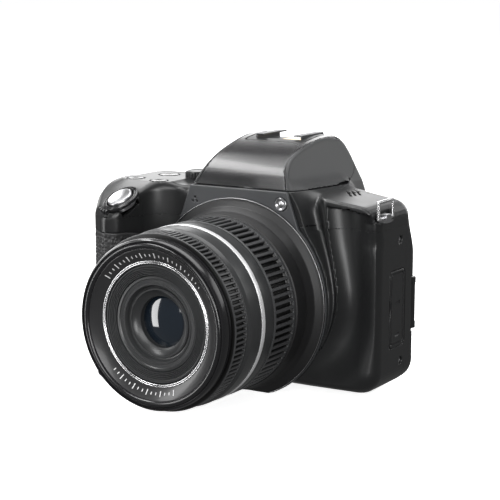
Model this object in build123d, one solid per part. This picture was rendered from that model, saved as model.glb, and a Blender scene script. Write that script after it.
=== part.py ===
from build123d import *
import os

# A bridge camera shaped like a single-lens reflex, in millimetres.
# +Z is up and the lens looks along -Y, so the hand grip is at -X.
# The origin is the mouth of the tripod socket, on the plane that the camera stands on.

# Lens, on an axis along Y
AXIS_Z = 33.8
FLANGE_Y = -22.0
FLANGE_R = 36.4
SKIRT_FRONT = -32.7
ZOOM_FRONT = -47.1
FOCUS_BACK = -63.2
FOCUS_FRONT = -70.4
LENS_FRONT = -75.9
TUBE_R = 28.0
TUBE_BORE = 26.4
RUNNING_GAP = 0.08
ZOOM_R = 31.2
BAND_R = 31.0
FOCUS_R = 30.4
RIM_R = 29.1
ACCENT_Y = -54.0
ACCENT_WIDTH = 1.3

# Body shell
BODY_LEFT = -58.0
BODY_RIGHT = 54.5
BODY_FRONT = -20.0
BODY_BACK = 12.2
DECK_Z = 72.6
WALL = 2.0
GRIP_WALL = 3.2
TOP_SEAM_Z = 61.7
BASE_SEAM_Z = 4.0
REAR_SEAM_Y = 4.5
PLATE_FRONT = -22.0
FOOT_CLEAR = 0.2
LAMP_AT = (18.1, 69.1)
MIC_HOLES = ((-18.3, 69.2), (-19.2, 67.7), (-17.4, 67.7))
RUBBER_Z = (6.0, 56.3)

# Viewfinder hump and the flash head on it
HUMP_FRONT = -19.5
HUMP_HALF = 20.5
HUMP_BACK = 24.5
HUMP_TOP = 90.0
HUMP_SPREAD = 0.17
CHEEK_LEAN = 0.56
TOWER_LEAN = 0.37
HEAD_SEAM_Z = 73.8
HEAD_GAP = 0.25
HEAD_WALL = 1.6
STRIP_INSET = 1.0
ISLAND_HALF = 12.6
ISLAND_FRONT = 3.6
FLASH_PIVOT = (19.5, 85.0)
FLASH_TUBE_AT = (-10.5, 76.6)
SHOE_SLOT_HALF = 9.3
SHOE_GAP_HALF = 6.3
SHOE_FLOOR_Z = 87.7

# Controls
SHUTTER_AT = (-42.0, -34.0, 67.4)
SHUTTER_LEAN = (-0.15, -0.5, 0.853)
SHUTTER_R = 4.9
LEVER_R = 7.2
LEVER_GAP = 0.45
DIAL_AT = (-29.5, -2.0)
DIAL_R = 5.1
DECK_BUTTONS = {
    "power_button": (-47.6, -17.4, 3.1),
    "drive_button": (-36.2, -18.6, 3.1),
    "record_button": (-42.8, -2.4, 3.7),
}
PAD_AT = (-39.5, 27.0)
PAD_R = 9.5
REAR_BUTTONS = {
    "playback_button": (-47.5, 43.5, 3.0),
    "menu_button": (-32.5, 43.5, 3.0),
}
BUTTON_GAP = 0.25

# Screen on its side hinge
SCREEN_X = (-21.5, 47.2)
SCREEN_Z = (6.5, 57.5)
SCREEN_Y = (9.9, 15.2)
ARM_AXIS = (52.1, 12.55)
ARM_Z = (22.4, 41.4)
RECESS_X = (-22.3, 48.2)
RECESS_Z = (5.7, 58.3)
RECESS_FLOOR_Y = 9.5

# Doors, strap lugs and tripod socket
PORT_Y = (-7.6, 4.0)
PORT_Z = (18.4, 46.2)
DOOR_X = (-54.0, -39.6)
DOOR_Y = (-31.0, -2.0)
DOOR_THICK = 1.8
LUGS = {"right": (1, 54.8, -12.7, 66.3), "left": (-1, -55.6, -3.0, 64.9)}
RING_HALF = 5.3
RING_HEIGHT = 5.8
RING_WIRE = 0.65
SOCKET_R = 3.175
SOCKET_DEPTH = 5.6
INSERT_R = 4.4
BASE_SCREWS = ((-30, -3), (34, -3), (14, 1), (-14, 1))
SIDE_SCREWS = ((0.1, 56.8), (1.5, 12.7))


def rounded(points, radii):
    """A closed face through points, each corner rounded by its radius."""
    return make_face(FilletPolyline(*points, radius=radii, close=True))


def face(points):
    return make_face(Polyline(*points, close=True))


def along_y(sketch, front, back):
    """The XZ sketch as a prism from the plane y=front to y=back."""
    plane = Plane(origin=(0, back, 0), x_dir=(1, 0, 0), z_dir=(0, -1, 0))
    return extrude(plane * sketch, amount=back - front)


def along_x(sketch, left, right):
    """The YZ sketch as a prism from x=left to x=right."""
    plane = Plane(origin=(left, 0, 0), x_dir=(0, 1, 0), z_dir=(1, 0, 0))
    return extrude(plane * sketch, amount=right - left)


def along_z(sketch, low, high):
    return extrude(Plane.XY.offset(low) * sketch, amount=high - low)


def block(x, y, z):
    """A box given by its limits on each axis."""
    centre = [(a + b) / 2 for a, b in (x, y, z)]
    sizes = [b - a for a, b in (x, y, z)]
    return Pos(*centre) * Box(*sizes)


def lens_ring(outer, inner, front, back):
    sketch = Pos(0, AXIS_Z) * (Circle(outer) - Circle(inner))
    return along_y(sketch, front, back)


def lens_disc(radius, front, back):
    return along_y(Pos(0, AXIS_Z) * Circle(radius), front, back)


def lens_turn(profile):
    """A ring turned about the lens axis from (y, radius) points."""
    points = [(y, AXIS_Z + r) for y, r in profile]
    axis = Axis((0, 0, AXIS_Z), (0, 1, 0))
    return revolve(Plane.YZ * face(points), axis=axis)


# ---- body envelope ----

def core(inset):
    """The main block of the body, shrunk by inset on every side."""
    outline = rounded(
        [
            (BODY_LEFT, 0),
            (BODY_RIGHT, 0),
            (BODY_RIGHT, 69.8),
            (31, DECK_Z),
            (-50.5, DECK_Z),
            (BODY_LEFT, 61),
        ],
        [5, 18, 6, 4, 6, 8],
    )
    if inset:
        return along_y(offset(outline, -inset), BODY_FRONT + inset, BODY_BACK - inset)
    solid = along_y(outline, BODY_FRONT, BODY_BACK)
    front_edges = solid.faces().sort_by(Axis.Y)[0].edges()
    return fillet(front_edges, 3.5)


def grip_outline():
    return rounded(
        [
            (-57.6, 4.4),
            (-58.6, -12),
            (-57.8, -27.5),
            (-53.0, -36),
            (-46.0, -41.2),
            (-40.2, -39.4),
            (-36.8, -28),
            (-33.5, -19.5),
            (-33.5, 4.4),
        ],
        [1, 8, 8, 6, 5, 5, 8, 4, 1],
    )


def shutter_plane(lift):
    lean = Vector(*SHUTTER_LEAN).normalized()
    return Plane(origin=Vector(*SHUTTER_AT) + lean * lift, x_dir=(1, 0, 0.176), z_dir=lean)


def grip(inset):
    """The hand grip, cut on top by the leaning face that carries the shutter button."""
    sketch = grip_outline()
    if inset:
        sketch = offset(sketch, -inset)
    column = along_z(sketch, inset, DECK_Z - inset)
    above = extrude(shutter_plane(-inset) * Rectangle(120, 120), amount=60)
    return column - above


def under_cut(lift):
    """The rising underside of the body in front of the flat base, right of the grip."""
    wedge = face([(-32, -5), (-32, 9.6 + lift), (-5.5, lift), (-5.5, -5)])
    return along_x(wedge, -33.4, 60)


def dish():
    """The hollow in the front face of the shoulder, beside the lens."""
    return Pos(46.6, BODY_FRONT - 11.0, 14) * Cylinder(
        12.6, 70, align=(Align.CENTER, Align.CENTER, Align.MIN)
    )


def hump(inset):
    """The viewfinder hump: a profile in YZ between two leaning sides."""
    def pulled(*points):
        """The points moved towards the middle of the hump by the inset."""
        moved = []
        for point in points:
            reach = Vector(2, 72) - Vector(*point)
            moved.append(Vector(*point) + reach.normalized() * inset)
        return moved

    crown = Spline(
        *pulled(
            (HUMP_FRONT, 73.6),
            (-17.3, 78.6),
            (-14.3, 82),
            (-9.5, 84.8),
            (-2.7, 86.9),
            (4.2, 88.4),
            (12, 89.6),
            (20.5, HUMP_TOP),
        )
    )
    rest = Polyline(
        *pulled(
            (20.5, HUMP_TOP),
            (23.4, 88.0),
            (HUMP_BACK, 83),
            (HUMP_BACK, 70),
            (22, 61),
            (HUMP_FRONT, 61),
            (HUMP_FRONT, 73.6),
        )
    )
    profile = make_face([crown, rest])
    solid = along_x(profile, -32, 32)
    for side in (-1, 1):
        for lean in (CHEEK_LEAN, TOWER_LEAN):
            solid = solid - hump_side(side, lean, inset)
    return solid


def hump_side(side, lean, inset):
    """The space outside one leaning side of the hump."""
    foot_corner = (side * (HUMP_HALF - inset * 1.15), HUMP_FRONT, 73.6)
    plane = Plane(origin=foot_corner, z_dir=(side, -HUMP_SPREAD, lean))
    return extrude(plane * Rectangle(300, 300), amount=60)


def head_region(gap):
    """The space above the flash seam, which dips from the front and climbs at the back."""
    seam = [
        (-30, HEAD_SEAM_Z - gap),
        (13, HEAD_SEAM_Z - gap),
        (19 + gap, 76.3 - gap),
        (22 + gap, 80 - gap),
        (24.6 + gap, 84.2 - gap),
        (34, 84.2 - gap),
        (34, 110),
        (-30, 110),
    ]
    return along_x(face(seam), -45, 45)


def screen_recess(floor):
    """The flat-floored hollow in the back that the closed screen lies in."""
    margin = RECESS_FLOOR_Y - floor
    return block((RECESS_X[0] - margin, RECESS_X[1] + margin), (floor, 40),
                 (RECESS_Z[0] - margin, RECESS_Z[1] + margin))


def finder_space():
    """Room for the viewfinder module, under the shoe island."""
    return block((-10.8, 10.8), (5.4, 22.4), (63.8, 84.5))


def shell():
    """All four covers and the fixed part of the hump as one hollow shell."""
    solid = core(0) + grip(0) + (hump(0) - head_region(HEAD_GAP))
    solid = solid - under_cut(0) - dish()
    room = (core(WALL) - screen_recess(RECESS_FLOOR_Y - WALL)) + grip(GRIP_WALL)
    room = room - under_cut(WALL + 0.4)
    room = room - Pos(46.6, BODY_FRONT - 11.0, 12) * Cylinder(
        14.6, 72, align=(Align.CENTER, Align.CENTER, Align.MIN)
    )
    hump_room = hump(WALL) - head_region(WALL + HEAD_GAP)
    hump_room = hump_room & block((-40, 40), (0, 30), (63.8, 90))
    return solid - room - hump_room - finder_space()


# ---- cut-outs shared by covers ----

def deck_holes():
    """Holes through the deck for the dial and the round buttons."""
    holes = Pos(*DIAL_AT, 70) * Cylinder(2.2, 12)
    for x, y, radius in DECK_BUTTONS.values():
        holes = holes + Pos(x, y, 72) * Cylinder(radius + BUTTON_GAP, 12)
    return holes


def shutter_hole():
    return shutter_plane(0) * Cylinder(SHUTTER_R + BUTTON_GAP, 16)


def lug_pocket(name):
    side, x, y, z = LUGS[name]
    outer, inner = x + side * 9, x - side * 2.6
    span = (min(outer, inner), max(outer, inner))
    half = RING_HALF + 1.3
    return block(span, (y - half, y + half), (z - 1.6, z + 14))


def port_space(grow):
    return block((52.6 - grow, 60), (PORT_Y[0] - grow, PORT_Y[1] + grow),
                 (PORT_Z[0] - grow, PORT_Z[1] + grow))


def port_bay():
    return block((45, 54), (PORT_Y[0] + 1.2, PORT_Y[1] - 1.2), (PORT_Z[0] + 1.5, PORT_Z[1] - 1.5))


def rubber_skin(inset):
    """The grip wrap: the outer skin of the grip over most of its height."""
    sketch = grip_outline() - offset(grip_outline(), -1.2)
    wrap = along_z(sketch, RUBBER_Z[0] + inset, RUBBER_Z[1] - inset)
    return wrap & block((-70, -36.6 - inset), (-50, 2.0 - inset), (0, 60))


def slot_row():
    """Three slanted speaker slots in the shoulder."""
    slots = None
    for step in range(3):
        slot = Pos(33.2 + 2.3 * step, 2.5, 72) * Rot(0, 0, 24) * Box(0.6, 5.0, 8)
        slots = slot if slots is None else slots + slot
    return slots


# ---- covers ----

def top_cover(whole):
    piece = whole & block((-70, 70), (-60, REAR_SEAM_Y), (TOP_SEAM_Z, 100))
    piece = piece - deck_holes() - shutter_hole() - slot_row()
    piece = piece - lens_disc(TUBE_R + 0.3, -40, 0)
    return piece - lug_pocket("right") - lug_pocket("left")


def front_cover(whole):
    piece = whole & block((-70, 70), (-60, REAR_SEAM_Y), (BASE_SEAM_Z, TOP_SEAM_Z))
    piece = piece - lens_disc(TUBE_R + 0.3, -40, 0) - rubber_skin(0)
    piece = piece - port_space(BUTTON_GAP) - port_bay() - plate_space()
    for y, z in SIDE_SCREWS:
        piece = piece - Pos(53, y, z) * Rot(0, 90, 0) * Cylinder(1.4, 8)
    return piece


def base_cover(whole):
    piece = whole & block((-70, 70), (-60, REAR_SEAM_Y), (-1, BASE_SEAM_Z))
    piece = piece - block(
        (DOOR_X[0] - 0.3, DOOR_X[1] + 0.3), (DOOR_Y[0] - 0.3, DOOR_Y[1] + 0.7), (-1, 8)
    )
    piece = piece - Cylinder(INSERT_R, 30)
    for x, y in BASE_SCREWS:
        piece = piece - Pos(x, y, 0) * Cylinder(1.6, 20)
    return piece


def rear_cover(whole):
    piece = whole & block((-70, 70), (REAR_SEAM_Y, 60), (-1, 100))
    arm_pocket = block((RECESS_X[1] - 1, 60), (RECESS_FLOOR_Y, 40),
                       (ARM_Z[0] - 0.3, ARM_Z[1] + 0.3))
    piece = piece - screen_recess(RECESS_FLOOR_Y) - arm_pocket
    for z in ((ARM_Z[0] - 3.6, ARM_Z[0] - 0.3), (ARM_Z[1] + 0.3, ARM_Z[1] + 3.6)):
        knuckle = along_z(Pos(*ARM_AXIS) * Circle(2.4), *z)
        root = block((ARM_AXIS[0] - 2.4, ARM_AXIS[0] + 2.4), (8.5, ARM_AXIS[1]), z)
        piece = piece + knuckle + (root & block((0, BODY_RIGHT), (0, 20), (0, 90)))
    piece = piece - along_z(Pos(*ARM_AXIS) * Circle(1.06), ARM_Z[0] - 3.6, ARM_Z[1] + 3.6)
    piece = piece - block((-7.6, 7.6), (20, 30), (67.0, 76.6))
    x, z = PAD_AT
    piece = piece - along_y(Pos(x, z) * Circle(PAD_R + BUTTON_GAP), 0, 20)
    for x, z, radius in REAR_BUTTONS.values():
        piece = piece - along_y(Pos(x, z) * Circle(radius + BUTTON_GAP), 0, 20)
    piece = piece - along_x(Pos(15.5, 68.0) * Circle(1.3), -40, -10)
    return piece - along_x(Pos(15.5, 68.0) * Circle(4.3), -31, -24.4)


def plate_outline(grow):
    """The matte front plate: a trapezoid above a disc round the lens."""
    top = rounded(
        [(-20.4 - grow, 73.5), (20.4 + grow, 73.5), (31.4 + grow, 43.5), (-31.4 - grow, 43.5)],
        [0.6, 0.6, 0.6, 0.6],
    )
    return top + Pos(0, AXIS_Z) * Circle(36.6 + grow)


def plate_space():
    return along_y(plate_outline(0.15), -40, BODY_FRONT)


def front_plate():
    piece = along_y(plate_outline(0), PLATE_FRONT + 0.6, BODY_FRONT)
    piece = piece & block((-60, 60), (-60, 0), (FOOT_CLEAR, 90))
    piece = piece - lens_disc(TUBE_R, -40, 0)
    piece = piece - along_y(Pos(*LAMP_AT) * Circle(2.3), -40, 0)
    for x, z in MIC_HOLES:
        piece = piece - along_y(Pos(x, z) * Circle(0.35), -40, 0)
    return piece


def af_lamp():
    return along_y(Pos(*LAMP_AT) * Circle(2.3), PLATE_FRONT + 0.2, BODY_FRONT)


def thumb_rubber():
    outline = rounded([(-56, 51), (-37, 51), (-33, 66), (-53.5, 66)], [4, 3, 4, 5])
    return along_y(outline, BODY_BACK, BODY_BACK + 1.2)


# ---- inside the body ----

def chassis():
    plate = block((-32, 44), (-6.2, -5.0), (5.2, 58)) - lens_disc(13, -10, 0)
    foot = block((-32, 44), (-6.2, 1.0), (5.2, 6.4))
    return plate + foot - Cylinder(INSERT_R, 30)


def main_board():
    return block((-31, 44), (1.6, 2.8), (9, 60))


def image_sensor():
    return block((-9, 9), (-4.8, -3.6), (AXIS_Z - 8, AXIS_Z + 8))


def battery_box():
    outer = block((-52.8, -40.8), (-29.4, -3.2), (4.6, 58))
    bay = block((-51.8, -41.8), (-28.4, -10.4), (1, 56.8))
    slot = block((-51.8, -41.8), (-9.2, -4.4), (1, 56.8))
    return outer - bay - slot


def battery():
    return block((-51.6, -42.0), (-28.2, -10.7), (4.7, 56.4))


def memory_card():
    return block((-51.4, -42.2), (-8.0, -5.9), (26, 56.4))


def battery_door():
    piece = block(DOOR_X, DOOR_Y, (0, DOOR_THICK))
    hole = along_x(Pos(DOOR_Y[1] - 1.0, 0.9) * Circle(0.5), -60, 0)
    return fillet(piece.edges().filter_by(Axis.Z), 2.0) - hole


def tripod_socket():
    return along_z(Circle(INSERT_R), 0, 8.0) - along_z(Circle(SOCKET_R), 0, SOCKET_DEPTH)


# ---- strap lugs ----

def lug_eye(name):
    """The post that a strap ring turns on, low in its pocket."""
    side, x, y, z = LUGS[name]
    post = block((x - 1.4, x + 1.4), (y - 1.8, y + 1.8), (z - 1.6, z + 1.3))
    return post - Pos(x, y, z) * Rot(90, 0, 0) * Cylinder(RING_WIRE + 0.08, 10)


def strap_lugs():
    return Compound(children=[lug_eye("right"), lug_eye("left")])


def lug_ring(name):
    """A rectangular wire ring standing on its lower bar, which runs through the post."""
    side, x, y, z = LUGS[name]
    bar = Rot(90, 0, 0) * Cylinder(RING_WIRE, 2 * RING_HALF)
    post = Cylinder(RING_WIRE, RING_HEIGHT)
    ring = Pos(x, y, z) * bar + Pos(x, y, z + RING_HEIGHT) * bar
    for end in (-RING_HALF, RING_HALF):
        ring = ring + Pos(x, y + end, z + RING_HEIGHT / 2) * post
        ring = ring + Pos(x, y + end, z) * Sphere(RING_WIRE)
        ring = ring + Pos(x, y + end, z + RING_HEIGHT) * Sphere(RING_WIRE)
    return ring


# ---- hump, flash and shoe ----

def shoe_island():
    piece = hump(0) & head_region(HEAD_GAP)
    piece = piece & block((-ISLAND_HALF, ISLAND_HALF), (ISLAND_FRONT, 30), (70, 95))
    piece = piece - finder_space()
    piece = piece - block((-9.8, 9.8), (7.4, 30), (SHOE_FLOOR_Z - 0.4, 95))
    y, z = FLASH_PIVOT
    return piece - along_x(Pos(y, z) * Circle(1.0), -13, 13)


def shoe_rails():
    """Folded metal channel for an 18.6 mm foot, open at the back."""
    length = (7.4, 24.2)
    rails = block((-9.8, 9.8), length, (SHOE_FLOOR_Z - 0.4, SHOE_FLOOR_Z))
    for side in (-1, 1):
        outer, wall, lip = side * 9.8, side * SHOE_SLOT_HALF, side * SHOE_GAP_HALF
        rails = rails + block(sorted((wall, outer)), length, (SHOE_FLOOR_Z, 90.4))
        rails = rails + block(sorted((lip, outer)), length, (89.8, 90.4))
    return rails - block((-4.0, 4.0), (13, 22), (80, SHOE_FLOOR_Z))


def shoe_contacts():
    return block((-4.0, 4.0), (13, 22), (SHOE_FLOOR_Z - 0.4, SHOE_FLOOR_Z))


def flash_head():
    """The hollow lift-up head, with hinge ears beside the shoe island."""
    solid = hump(0) & head_region(0)
    room = hump(HEAD_WALL) & head_region(1.0)
    room = room & block((-40, 40), (-30, 16.4), (70, 95))
    gap = block((-ISLAND_HALF - 0.3, ISLAND_HALF + 0.3), (ISLAND_FRONT - 0.4, 40), (70, 100))
    inner_wall = block(
        (-ISLAND_HALF - 1.5, ISLAND_HALF + 1.5), (ISLAND_FRONT - 1.6, 40), (78, 100)
    )
    solid = (solid - room) + (inner_wall & hump(0.5) & head_region(0))
    y, z = FLASH_PIVOT
    return solid - gap - along_x(Pos(y, z) * Circle(1.06), -17, 17)


def flash_strip(head):
    for side in (-1, 1):
        head = head - hump_side(side, CHEEK_LEAN, STRIP_INSET)
    return head


def flash_cheeks(head):
    sides = [head & hump_side(side, CHEEK_LEAN, STRIP_INSET) for side in (-1, 1)]
    return Compound(children=[s for part in sides for s in part.solids()])


def flash_reflector():
    outer = block((-14, 14), (-14.3, -6.7), (74.4, 78.6))
    trough = along_x(Pos(*FLASH_TUBE_AT) * Pos(0, -1.2) * Circle(3.0), -12.6, 12.6)
    mouth = block((-12.6, 12.6), (-13.5, -7.5), (73, 75.4))
    return outer - trough - mouth


def flash_window():
    return block((-12.4, 12.4), (-13.4, -7.6), (74.0, 74.8))


def flash_tube():
    return along_x(Pos(*FLASH_TUBE_AT) * Circle(1.1), -12.6, 12.6)


def hinge_pins():
    """The fixed pins of the flash head, the screen arm and the battery door."""
    y, z = FLASH_PIVOT
    pins = [
        along_x(Pos(y, z) * Circle(1.0), 10.9, 16.4),
        along_x(Pos(y, z) * Circle(1.0), -16.4, -10.9),
        along_z(Pos(*ARM_AXIS) * Circle(1.0), ARM_Z[0] - 3.6, ARM_Z[1] + 3.6),
        along_x(Pos(DOOR_Y[1] - 1.0, 0.9) * Circle(0.42), DOOR_X[0] - 0.3, DOOR_X[1] + 0.3),
    ]
    return Compound(children=[p for pin in pins for p in pin.solids()])


def evf_module():
    return block((-9.6, 9.6), (7.0, 21.6), (64.6, 79.0))


def eyepiece_lens():
    return block((-7.5, 7.5), (22.5, 24.4), (67.1, 76.5))


def eyecup():
    outer = rounded([(-16, 62.8), (16, 62.8), (13.5, 81.4), (-13.5, 81.4)], [5, 5, 6, 6])
    hole = rounded([(-9, 66), (9, 66), (9, 77.6), (-9, 77.6)], [3, 3, 3, 3])
    return along_y(outer - hole, HUMP_BACK, 27.6)


def diopter_dial():
    wheel = along_x(Pos(15.5, 68.0) * Circle(4.0), -28.2, -24.8)
    return wheel + along_x(Pos(15.5, 68.0) * Circle(1.2), -24.8, -21.5)


# ---- lens ----

def lens_skirt():
    skirt = lens_turn(
        [
            (PLATE_FRONT + 0.6, TUBE_R),
            (PLATE_FRONT + 0.6, FLANGE_R),
            (FLANGE_Y, FLANGE_R),
            (FLANGE_Y - 0.6, FLANGE_R - 0.8),
            (FLANGE_Y - 1.4, 33.2),
            (FLANGE_Y - 4.6, 31.9),
            (SKIRT_FRONT, ZOOM_R),
            (SKIRT_FRONT, TUBE_R),
        ]
    )
    return skirt & block((-60, 60), (-60, 0), (FOOT_CLEAR, 90))


def lens_tube():
    tube = lens_ring(TUBE_R, TUBE_BORE, FOCUS_FRONT - 0.2, -14)
    return tube + lens_ring(TUBE_R, 14, -15.4, -14)


def grooved(ring, radius, front, back, count, width):
    """A ring with count square grooves round its outside."""
    tool = None
    for index in range(count):
        turn = 360 * index / count
        groove = Pos(0, (front + back) / 2, AXIS_Z) * Rot(0, turn, 0)
        groove = groove * Pos(0, 0, radius) * Box(width, back - front, 1.4)
        tool = groove if tool is None else tool + groove
    return ring - tool


def zoom_ring():
    ring = lens_ring(ZOOM_R, TUBE_R + RUNNING_GAP, ZOOM_FRONT, SKIRT_FRONT - 0.2)
    return grooved(ring, ZOOM_R, ZOOM_FRONT + 0.8, SKIRT_FRONT - 1.6, 24, 1.2)


def mid_barrel():
    barrel = lens_ring(BAND_R, TUBE_R, FOCUS_BACK + 0.2, ZOOM_FRONT - 0.2)
    half = ACCENT_WIDTH / 2
    return barrel - lens_ring(BAND_R + 1, BAND_R - 0.8, ACCENT_Y - half, ACCENT_Y + half)


def accent_ring():
    half = ACCENT_WIDTH / 2
    return lens_ring(BAND_R + 0.05, BAND_R - 0.8, ACCENT_Y - half, ACCENT_Y + half)


def focus_ring():
    ring = lens_ring(FOCUS_R, TUBE_R + RUNNING_GAP, FOCUS_FRONT, FOCUS_BACK)
    return grooved(ring, FOCUS_R, FOCUS_FRONT + 0.8, FOCUS_BACK - 0.6, 36, 0.8)


def front_rim():
    return lens_turn(
        [
            (FOCUS_FRONT - 0.2, 26.0),
            (FOCUS_FRONT - 0.2, RIM_R - 0.3),
            (FOCUS_FRONT - 1.2, RIM_R),
            (LENS_FRONT + 0.6, RIM_R),
            (LENS_FRONT, RIM_R - 0.8),
            (LENS_FRONT, RIM_R - 1.9),
            (LENS_FRONT + 1.4, 26.2),
        ]
    )


def name_bezel():
    return lens_turn([(-74.3, 26.0), (-73.1, 20.6), (-72.0, 20.6), (-72.0, 26.0)])


def lens_baffle():
    """Stepped cone between the bezel and the front glass, riding on the zoom carriage."""
    return lens_turn(
        [
            (-72.8, 20.2),
            (-72.2, 17.2),
            (-71.6, 17.2),
            (-71.4, 13.6),
            (-69.0, 9.8),
            (-68.6, 8.8),
            (-66.4, 8.8),
            (-66.4, 20.2),
        ]
    )


def zoom_carriage():
    sleeve = lens_ring(20.2, 18.6, -66.4, -38)
    guide = lens_ring(TUBE_BORE - RUNNING_GAP, 18.6, -46.0, -43.6)
    return sleeve + guide + lens_ring(20.2, 8.8, -39.4, -38)


def front_element():
    """The front glass, a disc with a domed face."""
    bulge = Pos(0, -46.0, AXIS_Z) * Sphere(22.6)
    return bulge & lens_disc(8.8, -69, -65.2)


def rear_group():
    return lens_disc(8.8, -40.6, -38.2)


# ---- controls ----

def shutter_button():
    disc = Pos(0, 0, 0.6) * Cylinder(SHUTTER_R, 5.4)
    return shutter_plane(0) * fillet(disc.edges().group_by(Axis.Z)[-1], 0.8)


def zoom_lever():
    """The ring round the shutter button, with a toothed tab at its front left."""
    ring = Pos(0, 0, 1.25) * (Cylinder(LEVER_R, 2.2) - Cylinder(SHUTTER_R + LEVER_GAP, 5))
    tab = Rot(0, 0, 238) * Pos(LEVER_R + 0.2, 0, 1.25) * Box(3.0, 6.4, 2.2)
    tab = tab - Cylinder(LEVER_R - 1, 9)
    return shutter_plane(0) * (ring + tab)


def deck_button(name):
    x, y, radius = DECK_BUTTONS[name]
    button = Pos(x, y, 71.0) * Cylinder(radius, 5.4)
    return fillet(button.edges().group_by(Axis.Z)[-1], 0.5)


def mode_dial():
    disc = Pos(*DIAL_AT, DECK_Z + 1.8) * Cylinder(DIAL_R, 3.2)
    disc = fillet(disc.edges().group_by(Axis.Z)[-1], 0.6)
    return disc + Pos(*DIAL_AT, DECK_Z - 1.4) * Cylinder(2.12, 4.2)


def round_rear_button(x, z, radius, proud):
    return along_y(Pos(x, z) * Circle(radius), 6.4, BODY_BACK + proud)


def d_pad():
    x, z = PAD_AT
    ring = Pos(x, z) * (Circle(PAD_R) - Circle(4.6))
    return along_y(ring, 6.4, BODY_BACK + 0.9)


def ok_button():
    x, z = PAD_AT
    return round_rear_button(x, z, 4.35, 0.7)


# ---- screen and doors ----

def lcd_arm():
    barrel = along_z(Pos(*ARM_AXIS) * Circle(2.4), *ARM_Z)
    neck = block((46.0, ARM_AXIS[0]), (10.6, 14.4), (ARM_Z[0] + 1, ARM_Z[1] - 1))
    return (barrel + neck) - along_z(Pos(*ARM_AXIS) * Circle(1.06), 15, 50)


def lcd_frame():
    frame = block(SCREEN_X, SCREEN_Y, SCREEN_Z)
    frame = fillet(frame.edges().filter_by(Axis.Y), 2.5)
    frame = frame - block((-19, 44.6), (14.0, 20), (9.5, 54.5))
    return frame - block((45.9, 60), (9, 20), (ARM_Z[0] + 0.7, ARM_Z[1] - 0.7))


def lcd_glass():
    return block((-19, 44.6), (14.0, 15.0), (9.5, 54.5))


def port_door():
    piece = block((52.6, BODY_RIGHT), PORT_Y, PORT_Z)
    return fillet(piece.edges().filter_by(Axis.X), 2.0)


def port_sockets():
    """A backing strip with two sockets, as deep as their plugs."""
    board = block((46, 47), (-5.8, 2.4), (18, 43.6))
    usb = block((47, 51.6), (-5.4, 1.8), (21, 25)) - block((47.6, 53), (-4.4, 0.8), (22, 24))
    hdmi = block((47, 51.6), (-5.6, 2.2), (31, 37.2)) - block((47.6, 53), (-4.2, 0.8), (32, 36.2))
    return board + usb + hdmi


def screws():
    heads = []
    for x, y in BASE_SCREWS:
        heads.append(Pos(x, y, 1.3) * Cylinder(1.5, 2.2))
    for y, z in SIDE_SCREWS:
        heads.append(Pos(53.1, y, z) * Rot(0, 90, 0) * Cylinder(1.3, 1.8))
    return Compound(children=[s for head in heads for s in head.solids()])


def build():
    """Every sub-part by node name."""
    whole = shell()
    head = flash_head()
    nodes = {
        "top_cover": top_cover(whole),
        "front_cover": front_cover(whole),
        "base_cover": base_cover(whole),
        "rear_cover": rear_cover(whole),
        "front_plate": front_plate(),
        "af_lamp": af_lamp(),
        "grip_rubber": rubber_skin(0.1),
        "thumb_rubber": thumb_rubber(),
        "chassis": chassis(),
        "main_board": main_board(),
        "image_sensor": image_sensor(),
        "battery_box": battery_box(),
        "battery": battery(),
        "memory_card": memory_card(),
        "battery_door": battery_door(),
        "tripod_socket": tripod_socket(),
        "strap_lugs": strap_lugs(),
        "lug_ring_right": lug_ring("right"),
        "lug_ring_left": lug_ring("left"),
        "shoe_island": shoe_island(),
        "shoe_rails": shoe_rails(),
        "shoe_contacts": shoe_contacts(),
        "flash_strip": flash_strip(head),
        "flash_cheeks": flash_cheeks(head),
        "flash_reflector": flash_reflector(),
        "flash_window": flash_window(),
        "flash_tube": flash_tube(),
        "hinge_pins": hinge_pins(),
        "evf_module": evf_module(),
        "eyepiece_lens": eyepiece_lens(),
        "eyecup": eyecup(),
        "diopter_dial": diopter_dial(),
        "lens_skirt": lens_skirt(),
        "lens_tube": lens_tube(),
        "zoom_ring": zoom_ring(),
        "mid_barrel": mid_barrel(),
        "accent_ring": accent_ring(),
        "focus_ring": focus_ring(),
        "front_rim": front_rim(),
        "name_bezel": name_bezel(),
        "lens_baffle": lens_baffle(),
        "zoom_carriage": zoom_carriage(),
        "front_element": front_element(),
        "rear_group": rear_group(),
        "shutter_button": shutter_button(),
        "zoom_lever": zoom_lever(),
        "mode_dial": mode_dial(),
        "d_pad": d_pad(),
        "ok_button": ok_button(),
        "lcd_arm": lcd_arm(),
        "lcd_frame": lcd_frame(),
        "lcd_glass": lcd_glass(),
        "port_door": port_door(),
        "port_sockets": port_sockets(),
        "screws": screws(),
    }
    for name in DECK_BUTTONS:
        nodes[name] = deck_button(name)
    for name, (x, z, radius) in REAR_BUTTONS.items():
        nodes[name] = round_rear_button(x, z, radius, 0.8)
    return nodes


os.makedirs("parts", exist_ok=True)
for name, shape in build().items():
    export_step(shape, f"parts/{name}.step")
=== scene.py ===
import math

import bpy
import numpy as np
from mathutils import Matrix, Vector


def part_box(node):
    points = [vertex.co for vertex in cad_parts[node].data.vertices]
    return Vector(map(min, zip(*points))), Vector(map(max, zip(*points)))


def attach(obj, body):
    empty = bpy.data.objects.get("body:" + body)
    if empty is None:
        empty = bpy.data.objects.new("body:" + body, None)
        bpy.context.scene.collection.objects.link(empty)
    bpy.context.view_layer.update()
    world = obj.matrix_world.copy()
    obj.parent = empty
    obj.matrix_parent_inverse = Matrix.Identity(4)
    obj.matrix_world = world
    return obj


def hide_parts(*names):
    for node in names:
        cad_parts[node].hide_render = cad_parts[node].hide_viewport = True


# A bridge camera: detailed shells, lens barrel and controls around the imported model.
# Shapes are worked out in millimetres, in the model's own frame, and written out in metres:
# +Z is up, the lens looks along -Y, the hand grip is at -X.

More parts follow.
